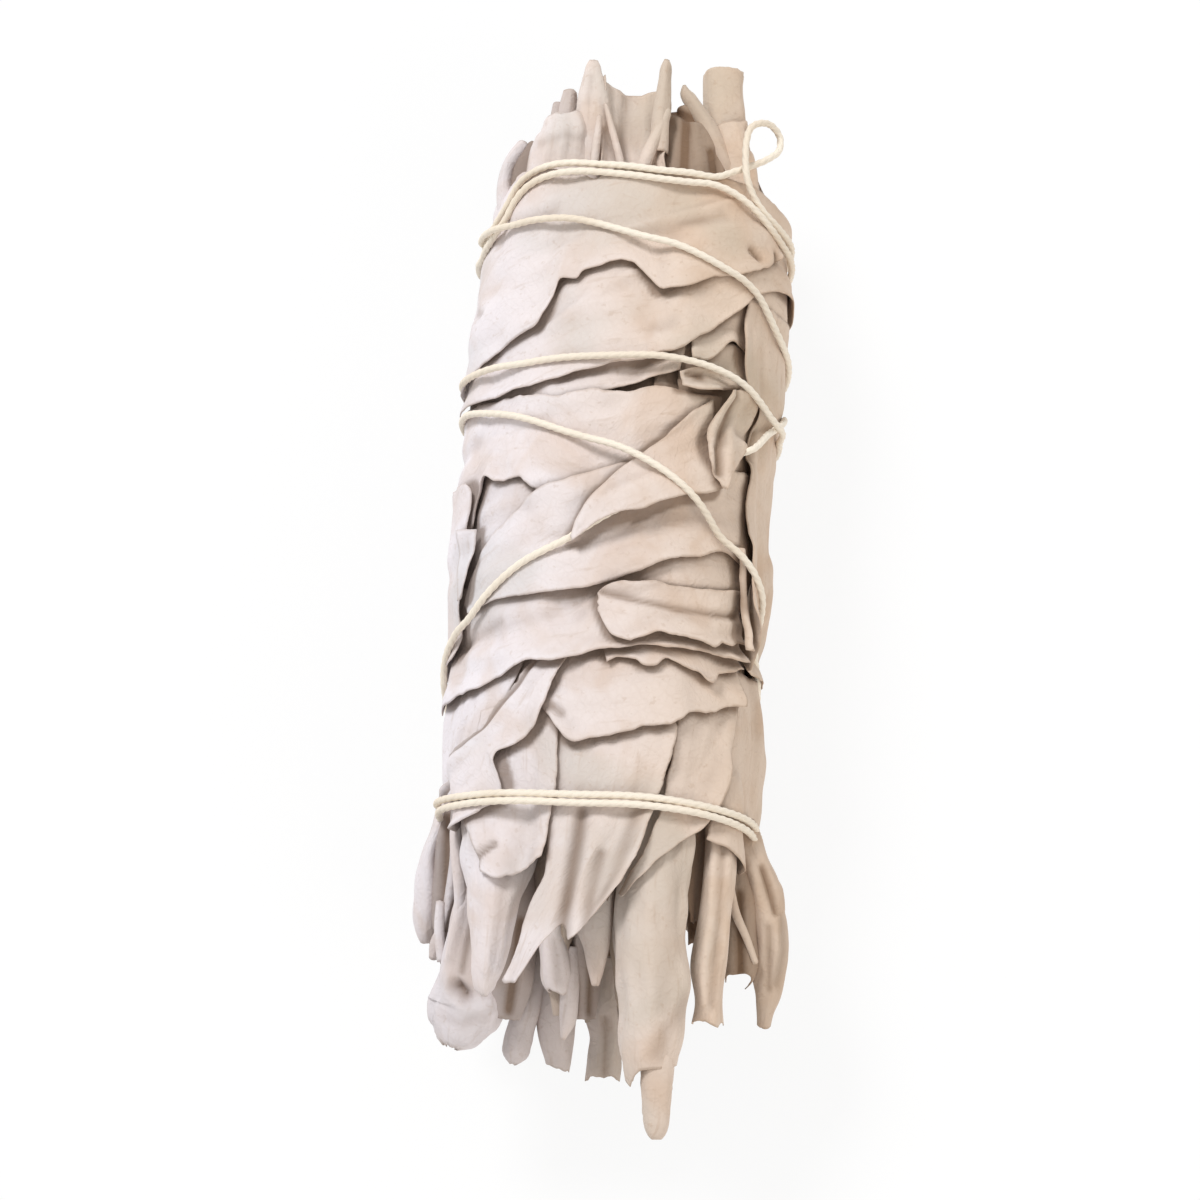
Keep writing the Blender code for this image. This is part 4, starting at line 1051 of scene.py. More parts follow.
class Pile:
    """Heights over the unrolled bundle, in cells a quarter of a millimetre long and a degree wide."""

    START, END, CELL = -62.0, 62.0, 0.25

    def __init__(self):
        self.along = np.arange(self.START, self.END + self.CELL, self.CELL)
        self.around = np.arange(360.0)
        self.top = np.zeros((len(self.along), len(self.around)))

    def places(self):
        """The flat places of all the cells' middles."""
        return np.stack(np.meshgrid(self.along, self.around * FLAT_DEGREE, indexing="ij"), axis=-1)

    def cell(self, plane):
        row = (plane[..., 0] - self.START) / self.CELL
        return np.clip(row, 1, len(self.along) - 3), (plane[..., 1] / FLAT_DEGREE) % TURN

    def read(self, field, plane):
        """A field's values between its cells' middles, by straight lines both ways."""
        row, column = self.cell(plane)
        top, left = np.floor(row).astype(int), np.floor(column).astype(int)
        down, right = row - top, column - left
        left %= field.shape[1]
        beside = (left + 1) % field.shape[1]
        upper = field[top, left] * (1 - right) + field[top, beside] * right
        lower = field[top + 1, left] * (1 - right) + field[top + 1, beside] * right
        return upper * (1 - down) + lower * down

    def marked(self, field, plane, values):
        """Raises a field to these values at these places, filling in between the grid's points."""
        for down in (0.0, 0.33, 0.67, 1.0):
            for right in (0.0, 0.33, 0.67, 1.0):
                weights = ((1 - down) * (1 - right), (1 - down) * right, down * (1 - right), down * right)
                corners = [(a[:-1, :-1], a[:-1, 1:], a[1:, :-1], a[1:, 1:]) for a in (plane, values)]
                place, value = (sum(w * corner for w, corner in zip(weights, four)) for four in corners)
                row, column = self.cell(place)
                cells = (np.rint(row).astype(int), np.rint(column).astype(int) % field.shape[1])
                np.maximum.at(field, cells, value)

    def draped(self):
        """What a stiff leaf would rest on: the highest height within half a millimetre, smoothed twice."""
        field = spread(self.top, 4, np.max)
        return spread(spread(field, 2, np.mean), 2, np.mean)


def spread(field, cells, combine):
    """Combines each cell with those up to so many away, first along the bundle and then round it."""
    padded = np.pad(field, ((cells, cells), (0, 0)), mode="edge")
    field = combine([padded[k : k + len(field)] for k in range(2 * cells + 1)], axis=0)
    return combine([np.roll(field, k, axis=1) for k in range(-cells, cells + 1)], axis=0)


def settle_leaf(spec, grid, pile, held):
    """The height of a leaf's outer face over the envelope, and how dark its creases are, which is painted
    shade.

    It rests on the pile. A parabola across it arches its middle, a square of the length flares its tip, noise
    stretched along it wrinkles it, bell curves round lines fold or crease it, and bell curves round its rims
    lift them where nothing holds them down."""
    plane, along, length, seed = grid["plane"], grid["along"], grid["length"], spec["seed"]
    share, across = along / length, grid["across"] / grid["width"] * 2
    free = 1 - np.clip(pile.read(held, plane), 0, 1)
    height = pile.read(pile.draped(), plane) + LEAF_GAP + LEAF_THICKNESS
    if spec.get("level"):
        pressed = SECTION_MIDDLE + PRESSED_DEPTH - oval(plane[..., 0], 0.0)[1]
        middle = np.clip(np.minimum(share, 1 - share) / LEVEL_ENDS, 0, 1)
        middle = middle * np.clip((1 - np.abs(across)) / LEVEL_EDGES, 0, 1)
        height += (np.maximum(pressed, height) - height) * middle
    height += table(spec.get("sink", [(0, 0), (1, 0)]), share)
    height += table(spec.get("arch", [(0, 0), (1, 0)]), share) * (1 - across**2)
    height += spec.get("flare", 0.0) * share**2
    wrinkle = spec.get("wrinkle", 0.09) * (0.4 + 0.6 * free)
    height += wrinkle * (0.8 + ripple(grid["across"], along * WRINKLE_STRETCH, WRINKLE_SIZE, seed + 11))
    height += WAVE_HEIGHT * ripple(plane[..., 0], plane[..., 1], WAVE_SIZE, seed + 12)
    stain_and_crease_shade = np.zeros(plane.shape[:2])
    for line, rise, wide, steep_side in spec.get("folds", ()):
        distance, side = distance_to_line(plane, flat(line))
        reach = wide * np.where(side == steep_side, STEEP_SHARE, 1.0)
        height += rise * np.exp(-((distance / reach) ** 2))
        # Painted shade: a crease also darkens the leaf's colour along its bell curve.
        if rise < 0:
            stain_and_crease_shade = np.maximum(stain_and_crease_shade, np.clip(-2 * rise, 0, 1) * np.exp(-((distance / (0.8 * wide)) ** 2)))
    reach = np.minimum(LIFT_REACH, grid["width"] / 3)
    for number, (amount, distance) in enumerate(zip(spec.get("lift", (0.2, 0.2, 0.1, 0.2)), grid["distances"])):
        waver = 0.75 + 0.35 * ripple(plane[..., 0], plane[..., 1], LIFT_WAVE_SIZE, seed + 20 + number)
        height += EDGE_LIFT * amount * free * waver * np.exp(-((distance / reach) ** 2))
    return height, stain_and_crease_shade


def scrolled(spec, grid, height):
    """Rolls a leaf's tip up round a circle: the last stretch of its length follows the circle's sine and
    cosine."""
    radius, degrees = spec["scroll"]
    past = np.clip(radius * math.radians(degrees) - grid["distances"][3], 0, None)
    turned = past / radius
    lengthways = unit(np.gradient(grid["plane"], axis=0))
    plane = grid["plane"] + lengthways * (radius * np.sin(turned) - past)[..., None]
    return plane, height + radius * (1 - np.cos(turned))


def grid_normals(points):
    return unit(np.cross(np.gradient(points, axis=0), np.gradient(points, axis=1)))


class Sheets:
    """Closed sheets and stems gathered into one mesh. Each point carries its place on the leaf, its state,
    which is (mm from the rim, how dark: painted shade under other leaves, deep in rolls and on inner faces, and
    the darker middles of cut stem ends; how dark its creases are, which is painted shade), and its tone."""

    def __init__(self):
        self.points, self.faces, self.places, self.states, self.tones = [], [], [], [], []
        self.count = 0

    def add(self, points, faces, place, state, tone):
        """Gathers points, the faces between them, counted from zero, and what each point carries."""
        self.faces.append(faces + self.count)
        for gathered, values in ((self.points, points), (self.places, place), (self.states, state)):
            gathered.append(values.reshape(-1, 3))
        size = len(self.points[-1])
        self.tones.append(np.full(size, tone))
        self.count += size

    def piece(self, name, material):
        made = new_piece(name, np.concatenate(self.points) * MM, np.concatenate(self.faces), material)
        set_vectors(made, "leaf_place", np.concatenate(self.places))
        set_vectors(made, "leaf_state", np.concatenate(self.states))
        attribute = made.data.attributes.new("leaf_tone", "FLOAT", "POINT")
        attribute.data.foreach_set("value", np.concatenate(self.tones).astype(np.float32))
        return made


def set_vectors(made, name, values):
    attribute = made.data.attributes.new(name, "FLOAT_VECTOR", "POINT")
    attribute.data.foreach_set("vector", values.astype(np.float32).ravel())


def new_piece(name, points, faces, material):
    """A smooth-shaded mesh object of four-sided faces, riding on the bundle."""
    mesh = bpy.data.meshes.new(name)
    mesh.vertices.add(len(points))
    mesh.vertices.foreach_set("co", points.astype(np.float32).ravel())
    mesh.loops.add(faces.size)
    mesh.loops.foreach_set("vertex_index", faces.astype(np.int32).ravel())
    mesh.polygons.add(len(faces))
    mesh.polygons.foreach_set("loop_start", np.arange(0, faces.size, 4, dtype=np.int32))
    mesh.polygons.foreach_set("use_smooth", np.ones(len(faces), bool))
    mesh.update(calc_edges=True)
    mesh.materials.append(material)
    made = bpy.data.objects.new(name, mesh)
    bpy.context.scene.collection.objects.link(made)
    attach(made, "root")
    return made


TABLE_CLEARANCE = 0.12  # mm that an inner face keeps from the table
INSIDE_REACH = 0.6  # how far from the rim an inner face reaches its full painted shade


def sheet_faces(rows, columns):
    """The faces of a closed sheet: an outer grid, the same grid moved inwards, and a rim between."""
    size = rows * columns
    index = np.arange(size).reshape(rows, columns)
    corners = (index[:-1, :-1], index[1:, :-1], index[1:, 1:], index[:-1, 1:])
    quads = np.stack([corner.ravel() for corner in corners], axis=1)
    loop = np.concatenate([index[0, :-1], index[:-1, -1], index[-1, :0:-1], index[:0:-1, 0]])
    after = np.roll(loop, -1)
    rim = np.stack([loop, after, after + size, loop + size], axis=1)
    return np.concatenate([quads, (quads + size)[:, ::-1], rim])


def tube_faces(rows, ring, turned=False):
    """The faces of a tube of so many rings, with rows of four-sided faces over its two ends. They are turned
    over where the rings run the other way."""
    index = np.arange(rows * ring).reshape(rows, ring)
    beside = np.roll(index, -1, axis=1)
    quads = np.stack([index[:-1], beside[:-1], beside[1:], index[1:]], axis=-1).reshape(-1, 4)
    cap = np.array([[k, k + 1, ring - 2 - k, ring - 1 - k] for k in range(ring // 2 - 1)])
    faces = np.concatenate([quads, cap[:, ::-1], cap + (rows - 1) * ring])
    return np.roll(faces[:, ::-1], 1, axis=1) if turned else faces


def rim_thickness(rim):
    """How thick a leaf is at these distances from its rim, growing along a soft step."""
    return LEAF_THICKNESS * (RIM_THINNING + (1 - RIM_THINNING) * smooth_step(rim, 0, RIM_REACH))


def add_sheet(sheets, outer, outward, thickness, place, state, tone, inside=0.2):
    """Adds a sheet whose outer face is given. Its normals are turned to the outward side first."""
    normals = grid_normals(outer)
    if (normals * outward).sum() < 0:
        outer, outward, thickness = outer[:, ::-1], outward[:, ::-1], thickness[:, ::-1]
        place, state = place[:, ::-1], state[:, ::-1]
        normals = grid_normals(outer)
    inner = outer - normals * thickness[..., None]
    outer = outer.copy()
    below = outward[..., 2] < 0
    outer[..., 2] = np.where(below, np.maximum(outer[..., 2], 0.0), outer[..., 2])
    inner[..., 2] = np.where(below, np.maximum(inner[..., 2], TABLE_CLEARANCE), inner[..., 2])
    # Painted shade: the inner face darkens by `inside` from its rim inwards.
    shaded_inner_state = state + np.clip(state[..., :1] / INSIDE_REACH, 0, 1) * [0.0, inside, 0.0]
    faces = sheet_faces(*outer.shape[:2])
    sheets.add(np.stack([outer, inner]), faces, np.stack([place, place]), np.stack([state, shaded_inner_state]), tone)


def add_curl(sheets, spec):
    """Bends a leaf round an oval carried along its path, and gives its outer face.

    A point is the path's middle, plus the half width times the angle's sine to the side, plus the half height
    times its cosine upwards. Bell curves round the folds' lines push it out or in, and noise wrinkles it
    lengthwise."""
    rows = np.array(spec["rows"], float)
    rows[:, 0] += CURLS_ASIDE
    seed = spec["seed"]
    length = travelled(rows[:, :3])[-1]
    girth = (np.radians(np.abs(rows[:, 6] - rows[:, 5])) * rows[:, 3:5].mean(axis=1)).max()
    share = np.linspace(0, 1, max(8, round(girth / STEP)) + 1)[None, :]
    at = np.linspace(0, 1, max(8, round(length / STEP)) + 1)[:, None]
    jag = spec.get("ragged", 0.08) * np.abs(ripple(share * girth, 0 * share, CURL_JAG_SIZE, seed + 1))
    low = table(spec.get("first", [(0, 0), (1, 0)]), share) + jag
    high = length - table(spec.get("last", [(0, 0), (1, 0)]), share) - jag
    at = low + (high - low) * at
    values = curve_through(path_by_distance(rows), at.ravel())[:, 2:].reshape(at.shape + (7,))
    centre, half_width, half_height = values[..., :3], values[..., 3], values[..., 4]
    angle = np.radians(values[..., 5] + (values[..., 6] - values[..., 5]) * share)
    side, up = side_and_up(centre)
    wrinkle = ripple(at * CURL_WRINKLE_STRETCH, angle * half_width, CURL_WRINKLE_SIZE, seed + 2)
    reach = (1 - spec.get("spiral", 0.08) * share) * (1 + spec.get("wrinkle", 0.05) * wrinkle)
    away = np.sin(angle)[..., None] * side + np.cos(angle)[..., None] * up
    outer = centre + (reach * half_width * np.sin(angle))[..., None] * side
    outer = outer + (reach * half_height * np.cos(angle))[..., None] * up
    trough = rows[0, 6] < rows[0, 5]
    outward = -away if trough else away
    facing = smooth_step(np.cos(angle) * (-1 if trough else 1), -0.2, 0.3)
    stain_and_crease_shade = np.zeros(angle.shape)
    for line, rise, wide, _ in spec.get("folds", ()):
        distance, _ = distance_to_line(outer[..., 1::-1], np.asarray(line, float))
        bell = facing * np.exp(-((distance / wide) ** 2))
        outer = outer + (rise * bell)[..., None] * outward
        # Painted shade: a crease also darkens the leaf's colour along its bell curve.
        if rise < 0:
            stain_and_crease_shade = np.maximum(stain_and_crease_shade, np.clip(-2 * rise, 0, 1) * bell)
    to_sides = np.minimum(share, 1 - share) * girth
    rim = np.minimum(np.minimum(at - low, high - at), to_sides)
    state = np.stack([rim, 0 * rim, stain_and_crease_shade], axis=-1)
    place = np.stack([(share - 0.5) * girth + 0 * at, at, 0 * at + seed], axis=-1)
    looks = spec.get("tone", 0.0), spec.get("inside", 0.35)
    add_sheet(sheets, outer, outward, rim_thickness(rim), place, state, *looks)
    return outer


# ---------------------------------------------------------------- the string

STRING_RADIUS = 0.36
STRING_PLIES = 3
PLY_OFFSET, PLY_RADIUS = 0.36 * STRING_RADIUS, 0.66 * STRING_RADIUS
STRING_LAY = 3.0  # mm along the string for one turn of its plies
STRING_SPACING, STRING_RING_SPACING, STRING_RING = 0.5, 0.3, 18
STRING_SINK = 0.12  # how far it presses into the leaves
STRING_CLEARANCE = 0.02  # over the table
STRING_CROSSING = 0.62  # between the middles of two turns that cross
STRING_CROSSINGS = 3  # turns that may lie on each other
STRING_SELF_REACH = 9  # samples that count as the same place on it
STRING_LOOSE = 0.5  # from this lift on it stands clear, and what comes later passes below it
STRING_UNDER_COVER = 42  # samples at the end of its first part, which the cover leaves lie over
GROOVE_DEPTH, GROOVE_WIDTH, GROOVE_SPACING = 0.4, 1.7, 0.8  # where it draws the leaves in

# The route, as in the part: (along, around), with around growing past a full turn. A third number lifts it
# there.
STRING_TO_LEAF = [
    (-20.6, -120), (-21.8, -92), (-22.6, -72), (-22.8, -50), (-22.7, -30), (-22.5, 0), (-22.5, 20), (-22.7, 38),
    (-23, 60), (-23.4, 78), (-24.2, 100), (-24.8, 130), (-25, 200), (-24.8, 240), (-24.3, 264), (-23.8, 286),
    (-23.6, 310), (-23.4, 336), (-23.3, 360), (-23.3, 380), (-23.5, 400), (-24, 420), (-24.9, 440), (-26, 464),
    (-26.6, 500), (-26.8, 550), (-26.2, 570), (-24, 588, -0.2), (-19, 606, -0.5), (-12.6, 622, -0.6),
    (-7.8, 638, -0.2), (-5.9, 650), (-4.7, 662), (-2.7, 674), (-0.1, 690), (1.2, 700), (2.1, 706), (3.1, 711),
    (5, 722), (6.8, 736), (8.9, 752), (11.2, 763), (12.7, 767.5),
]  # fmt: skip
STRING_TO_END = [
    (12.7, 767.5), (13.5, 771.5), (14.7, 777), (17.2, 792), (20, 812), (22.2, 834), (24.4, 854), (27, 880),
    (29.6, 908), (32, 938), (33.8, 965, -0.2), (35.2, 990, -0.3), (36.6, 1008, -0.1), (38.4, 1020),
    (40.5, 1026.7), (41.4, 1035.4), (41.7, 1043.4), (41.7, 1053.4), (41.4, 1064), (41.1, 1076), (40.9, 1088),
    (41.1, 1100.5), (41.4, 1112.8), (42.4, 1120.4, 0.3), (43.5, 1128, 1.2), (44.9, 1135.6, 2.2),
    (46.6, 1141.6, 3), (47.9, 1142.4, 3.2), (48.5, 1138, 3.2), (48.2, 1130, 3), (47.2, 1124.6, 2.6),
    (45.6, 1122.6, 2.2), (43.9, 1122.2, 1.7), (42.8, 1122.8, 1.2), (41.8, 1124, 0.9), (41, 1126, 0.5),
    (40, 1129.6, 0.2), (38.9, 1135), (38.2, 1143), (37.8, 1162), (37.8, 1190), (37.6, 1225), (37.2, 1260),
    (36.4, 1300), (35.2, 1335, -0.2), (34.7, 1350, -0.3), (34.9, 1365, -0.1), (35.7, 1375), (36.8, 1382),
    (38.6, 1386.8), (39.6, 1391.4), (40.2, 1397), (40.6, 1405.5), (40.7, 1415), (40.5, 1424), (40.2, 1436),
    (40, 1448), (40.1, 1460.5), (40.3, 1470), (40, 1477), (39.3, 1484), (38.3, 1491), (37.3, 1498),
    (36.6, 1505), (36.2, 1517), (36, 1540), (35.6, 1580), (35.6, 1620), (36, 1655), (36.6, 1690, -0.3),
    (36.6, 1710, -0.4), (36.2, 1726, -0.2), (35.9, 1738), (35.9, 1749), (35.8, 1762), (35.5, 1775),
    (34.8, 1785), (34, 1794), (33.1, 1804), (32.4, 1815), (31.7, 1823), (30.9, 1832), (30.2, 1841),
    (29.2, 1849), (27.8, 1857), (26.2, 1868), (24.8, 1885), (23.6, 1915), (22.8, 1950), (22.4, 1990),
    (21.8, 2040), (21, 2075, -0.3), (20.6, 2094), (20.7, 2108), (20.6, 2121), (20.7, 2133), (20.7, 2160),
    (20.8, 2173), (20.7, 2181), (20.5, 2189), (20.1, 2197), (19.4, 2206), (18.3, 2215), (17.2, 2228),
    (16.7, 2250), (16.6, 2300), (16.7, 2350), (17, 2400), (17.2, 2430), (17, 2448), (16.3, 2462), (15.5, 2475),
    (14.6, 2486), (13.6, 2496), (12.3, 2509.5), (11.1, 2521), (9.6, 2531), (8, 2540), (6.5, 2547), (5.1, 2553),
    (3.8, 2559), (2.6, 2567), (0.8, 2576), (-2, 2588, -0.2), (-6, 2602, -0.7), (-10.5, 2618, -0.7),
    (-15, 2638, -0.3), (-19, 2662), (-21.4, 2690), (-22.6, 2715),
]  # fmt: skip


def string_places(route, spacing=STRING_SPACING):
    """Evenly spaced (along, across, lift) places of a part of the route, on the flat plane."""
    points = np.array([(*point, 0.0)[:3] for point in route]) * [1.0, FLAT_DEGREE, 1.0]
    length = travelled(points[:, :2])[-1]
    return curve_through(points, np.linspace(0, length, round(length / spacing) + 1))


def run(values, reach, combine):
    """Combines each value with those up to `reach` places before and after it."""
    padded = np.pad(values, reach, mode="edge")
    return combine([padded[k : k + len(values)] for k in range(2 * reach + 1)], axis=0)


def lay_string(places, pile, earlier_places, earlier_heights):
    """The height of the string's middle: on the leaves, held taut over hollows, and higher over the turns
    laid before."""
    heights = pile.read(spread(pile.top, 1, np.max), places) + STRING_RADIUS - STRING_SINK
    heights = run(run(run(heights, 4, np.max), 5, np.mean), 4, np.mean) + places[:, 2]
    everything = np.concatenate([earlier_places, places])
    number = np.arange(len(everything))
    apart = everything[None, :, :2] - places[:, None, :2]
    apart[..., 1] = shortest_round(apart[..., 1])
    close = np.linalg.norm(apart, axis=-1) < STRING_CROSSING
    close &= number < number[len(earlier_places) :, None] - STRING_SELF_REACH
    close &= everything[:, 2] < STRING_LOOSE
    for _ in range(STRING_CROSSINGS):
        so_far = np.concatenate([earlier_heights, heights])
        heights = np.maximum(heights, np.where(close, so_far + STRING_CROSSING, -np.inf).max(axis=1))
    return run(run(run(heights, 2, np.max), 2, np.mean), 1, np.mean)


def string_mesh(places, heights):
    """Points, faces and ply places of the string.

    Each section is the outline of three circles that touch: its radius is a circle's offset times the cosine
    of the angle from that circle's middle, plus the root of the circle's squared radius less the square of
    the offset times the sine. It turns as the string goes on, which twists the plies together."""
    reached = travelled(places[:, :2])
    at = np.linspace(0, reached[-1], round(reached[-1] / STRING_RING_SPACING) + 1)
    along, across, height = curve_through(np.column_stack([places[:, :2], heights]), at).T
    centre = on_bundle(along, across / FLAT_DEGREE, height)
    centre[:, 2] = np.maximum(centre[:, 2], STRING_RADIUS + STRING_CLEARANCE)
    out = on_bundle(along, across / FLAT_DEGREE, height + 1) - centre
    forward = unit(np.gradient(centre, axis=0))
    side = unit(np.cross(forward, out))
    out = np.cross(side, forward)
    length = travelled(centre)[:, None]
    angle = np.linspace(0, 2 * math.pi, STRING_RING, endpoint=False)[None, :]
    ply = 2 * math.pi / STRING_PLIES
    turned = angle - (2 * math.pi / STRING_LAY) * length
    from_ply = (turned + ply / 2) % ply - ply / 2
    radius = PLY_OFFSET * np.cos(from_ply) + np.sqrt(PLY_RADIUS**2 - (PLY_OFFSET * np.sin(from_ply)) ** 2)
    points = centre[:, None] + radius[..., None] * (
        np.cos(angle)[..., None] * side[:, None] + np.sin(angle)[..., None] * out[:, None]
    )
    place = np.stack([turned / ply, length + 0 * turned, from_ply], axis=-1)
    return points.reshape(-1, 3) * MM, tube_faces(*points.shape[:2]), place.reshape(-1, 3)


# ---------------------------------------------------------------- sprigs and rolled leaves

# (along, sideways, up from the middle of the section, radius), as in the part.
SPRIGS = {
    "sprig_middle": [
        (-42, 0.6, -0.4, 1.6), (-38, 0, 0, 2.6), (-24, 0, 0, 3.6), (20, 0, 0, 3.6), (40, 0, 0, 2.8),
        (47, 0.4, 0, 1.8),
    ],
    "sprig_upper_right": [
        (-43, 3.9, 4.2, 1.2), (-36, 3.7, 5.6, 2.4), (-24, 3.8, 6.6, 3.6), (28, 3.8, 6.6, 3.6),
        (38, 3.7, 5.4, 2.5), (42, 4.6, 4.8, 1.9), (46, 5.6, 4.6, 1.5),
    ],
    "sprig_right": [
        (-42, 7, -0.6, 1.6), (-36, 6.8, 0, 2.4), (-24, 7.6, 0, 3.6), (28, 7.6, 0, 3.6), (42, 6.2, -0.4, 2.4),
        (48.6, 6.2, -0.8, 1.7),
    ],
    "sprig_lower_right": [
        (-44, 3.2, -4.6, 1.5), (-36, 3.6, -5.4, 2.4), (-24, 3.8, -6.6, 3.6), (28, 3.8, -6.6, 3.6),
        (43, 3.0, -4.6, 2.3), (50, 2.8, -4.6, 1.6),
    ],
    "sprig_lower_left": [
        (-42, -3.0, -4.8, 1.6), (-36, -3.6, -5.4, 2.4), (-24, -3.8, -6.6, 3.6), (28, -3.8, -6.6, 3.6),
        (43, -3.0, -4.6, 2.3), (48, -2.8, -4.4, 1.7),
    ],
    "sprig_left": [
        (-42.5, -6.6, -0.4, 1.4), (-36, -6.8, 0, 2.4), (-24, -7.6, 0, 3.6), (28, -7.6, 0, 3.6),
        (42, -6.2, 0, 2.4), (47.5, -6.0, 0.6, 1.6),
    ],
    "sprig_upper_left": [
        (-42, -2.6, 4.2, 1.3), (-36, -3.4, 5.4, 2.3), (-24, -3.8, 6.6, 3.6), (28, -3.8, 6.6, 3.6),
        (42, -4.0, 4.6, 2.2), (48, -4.6, 4.6, 1.4),
    ],
}  # fmt: skip
SPRIG_GAP = 0.4  # mm that a rolled sprig stays inside its solid
ROLLED_LEAVES = {
    "rolled_leaf_left": [(-31.6, -14.6, 2.8, 0.6), (-34.5, -14.5, 2.6, 0.75), (-37.6, -14.0, 2.2, 0.75)],
}  # fmt: skip


def world_path(waypoints, gap=0.0):
    """(x, y, z, radius) rows of a rolled piece's middle line, in millimetres."""
    rows = np.array(sorted(waypoints), float)
    across = rows[:, 1] + drift(rows[:, 0]) + CENTRING[0]
    return np.column_stack([across, rows[:, 0] + CENTRING[1], rows[:, 2] + SECTION_MIDDLE, rows[:, 3] - gap])


ROLL_STEP, ROLL_FAR_STEP, ROLL_DETAILED, ROLL_COLUMN = 0.45, 3.0, 13.0, 0.5
ROLL_THICKNESS = 0.2
ROLL_INSIDE = 0.35  # where the spiral starts, as a share of the radius
ROLL_LEVEL = 0.7  # the spiral's middle radius, in the same way
ROLL_WOBBLE, ROLL_WOBBLE_SIZE = 0.07, 5.0
STEM_STEP, STEM_FAR_STEP, STEM_DETAILED, STEM_RING = 0.35, 4.0, 10.0, 28
STEM_BEVEL = 0.08
# Inside a sprig, a stem's radius is a share of the sprig's, up to a most, and a little more.
STEM_SHARE, STEM_MOST, STEM_MORE = 0.6, 0.95, 0.1
STEM_MIDDLE, STEM_SHOULDER = 0.02, 0.92  # shares of the radius at its end rings


def stations(length, fine, coarse, detailed):
    """Distances along a path: closely spaced within `detailed` of both ends, and far apart between."""
    if length < 2.5 * detailed:
        return np.linspace(0, length, max(6, round(length / fine)))
    ends = np.arange(0, detailed, fine)
    middle = np.arange(detailed, length - detailed, coarse)
    return np.concatenate([ends, middle, length - ends[::-1]])


def roll_up(sheets, path, turns, start, seed, tone, cuts):
    """Rolls a leaf round a path: a spiral whose radius grows evenly from a share of the path's out to all of
    it, and wobbles by noise.

    Each line along the spiral ends a little earlier than the path does, by a cosine and noise times the first
    cut at its start and the second at its end, which leaves ragged, slanting ends."""
    length = travelled(path[:, :3])[-1]
    radius_most = path[:, 3].max()
    width = 2 * math.pi * radius_most * turns * ROLL_LEVEL
    share = np.linspace(0, 1, max(10, round(width / ROLL_COLUMN)))[None, :]
    at = stations(length, ROLL_STEP, ROLL_FAR_STEP, ROLL_DETAILED)[:, None]
    turned = 2 * math.pi * (start + turns * share)
    slant = 0.5 + 0.5 * np.cos(turned * 0.5 + seed) + 0.35 * ripple(share * 9, 0 * share, 2.2, seed)
    low, high = cuts[0] * np.clip(slant, 0, 2), length - cuts[1] * np.clip(slant[:, ::-1], 0, 2)
    at = low + (high - low) * at / length
    values = curve_through(path_by_distance(path), at.ravel())[:, 2:].reshape(at.shape + (4,))
    centre, radius = values[..., :3], values[..., 3]
    side, up = side_and_up(centre)
    away = np.cos(turned)[..., None] * side + np.sin(turned)[..., None] * up
    wobble = 1 + ROLL_WOBBLE * ripple(at, turned * radius_most, ROLL_WOBBLE_SIZE, seed + 3)
    reach = radius * (ROLL_INSIDE + (1 - ROLL_INSIDE) * share) * wobble
    outer = centre + reach[..., None] * away
    rim = np.minimum(np.minimum(at - low, high - at), np.minimum(share, 1 - share) * width)
    # Painted shade: the inner turns of the roll are darker.
    inner_turn_shade = np.clip(1 - share * 1.4, 0, 1) + 0 * at
    state = np.stack([rim, inner_turn_shade * 0.8, 0 * rim], axis=-1)
    place = np.stack([(share - 0.5) * width + 0 * at, at, 0 * at + seed], axis=-1)
    add_sheet(sheets, outer, away, np.full(at.shape, ROLL_THICKNESS), place, state, tone)


def add_stem(sheets, path, seed, tone):
    """A woody stem: rings along the path, ridged by a cosine and noise, whose end rings shrink to the middle
    and close it."""
    path = path_by_distance(path)
    length = path[-1, 0]
    at = stations(length, STEM_STEP, STEM_FAR_STEP, STEM_DETAILED)
    at = np.concatenate([[0, 0, STEM_BEVEL], at[1:-1], [length - STEM_BEVEL, length, length]])
    values = curve_through(path, at)[:, 2:]
    centre, radius = values[:, :3], values[:, 3:4]
    scale = np.ones(len(at))
    scale[[0, -1]] = STEM_MIDDLE
    scale[[1, -2]] = STEM_SHOULDER
    side, up = side_and_up(curve_through(path, np.linspace(0, length, len(at)))[:, 2:5])
    angle = np.linspace(0, 2 * math.pi, STEM_RING, endpoint=False)[None, :]
    around = np.cos(angle)[..., None] * side[:, None] + np.sin(angle)[..., None] * up[:, None]
    bark = ripple(at[:, None] * 0.3, angle * radius * 2, 0.9, seed)
    ridged = 1 + 0.04 * np.cos(4 * angle + seed) + 0.03 * bark
    points = centre[:, None] + (radius * ridged * scale[:, None])[..., None] * around
    pith = 1 - scale[:, None] + 0 * angle
    place = np.stack([angle * radius, at[:, None] + 0 * angle, 0 * pith + seed], axis=-1)
    state = np.stack([1 + 0 * pith, 0.5 * pith, 0 * pith], axis=-1)
    sheets.add(points, tube_faces(*points.shape[:2], turned=True), place, state, tone)


# ---------------------------------------------------------------- materials


def put(tree, kind, inputs=(), **settings):
    """Adds a node. An input that is a socket is linked, and any other is set as its value."""
    node = tree.nodes.new(kind)
    for name, value in settings.items():
        setattr(node, name, value)
    for key, value in dict(inputs).items():
        if isinstance(value, bpy.types.NodeSocket):
            tree.links.new(value, node.inputs[key])
        else:
            node.inputs[key].default_value = value
    return node


def maths(tree, operation, first, second=0.0, clamp=False):
    """One step of arithmetic, by the name that Blender gives it."""
    return put(tree, "ShaderNodeMath", {0: first, 1: second}, operation=operation, use_clamp=clamp).outputs[0]


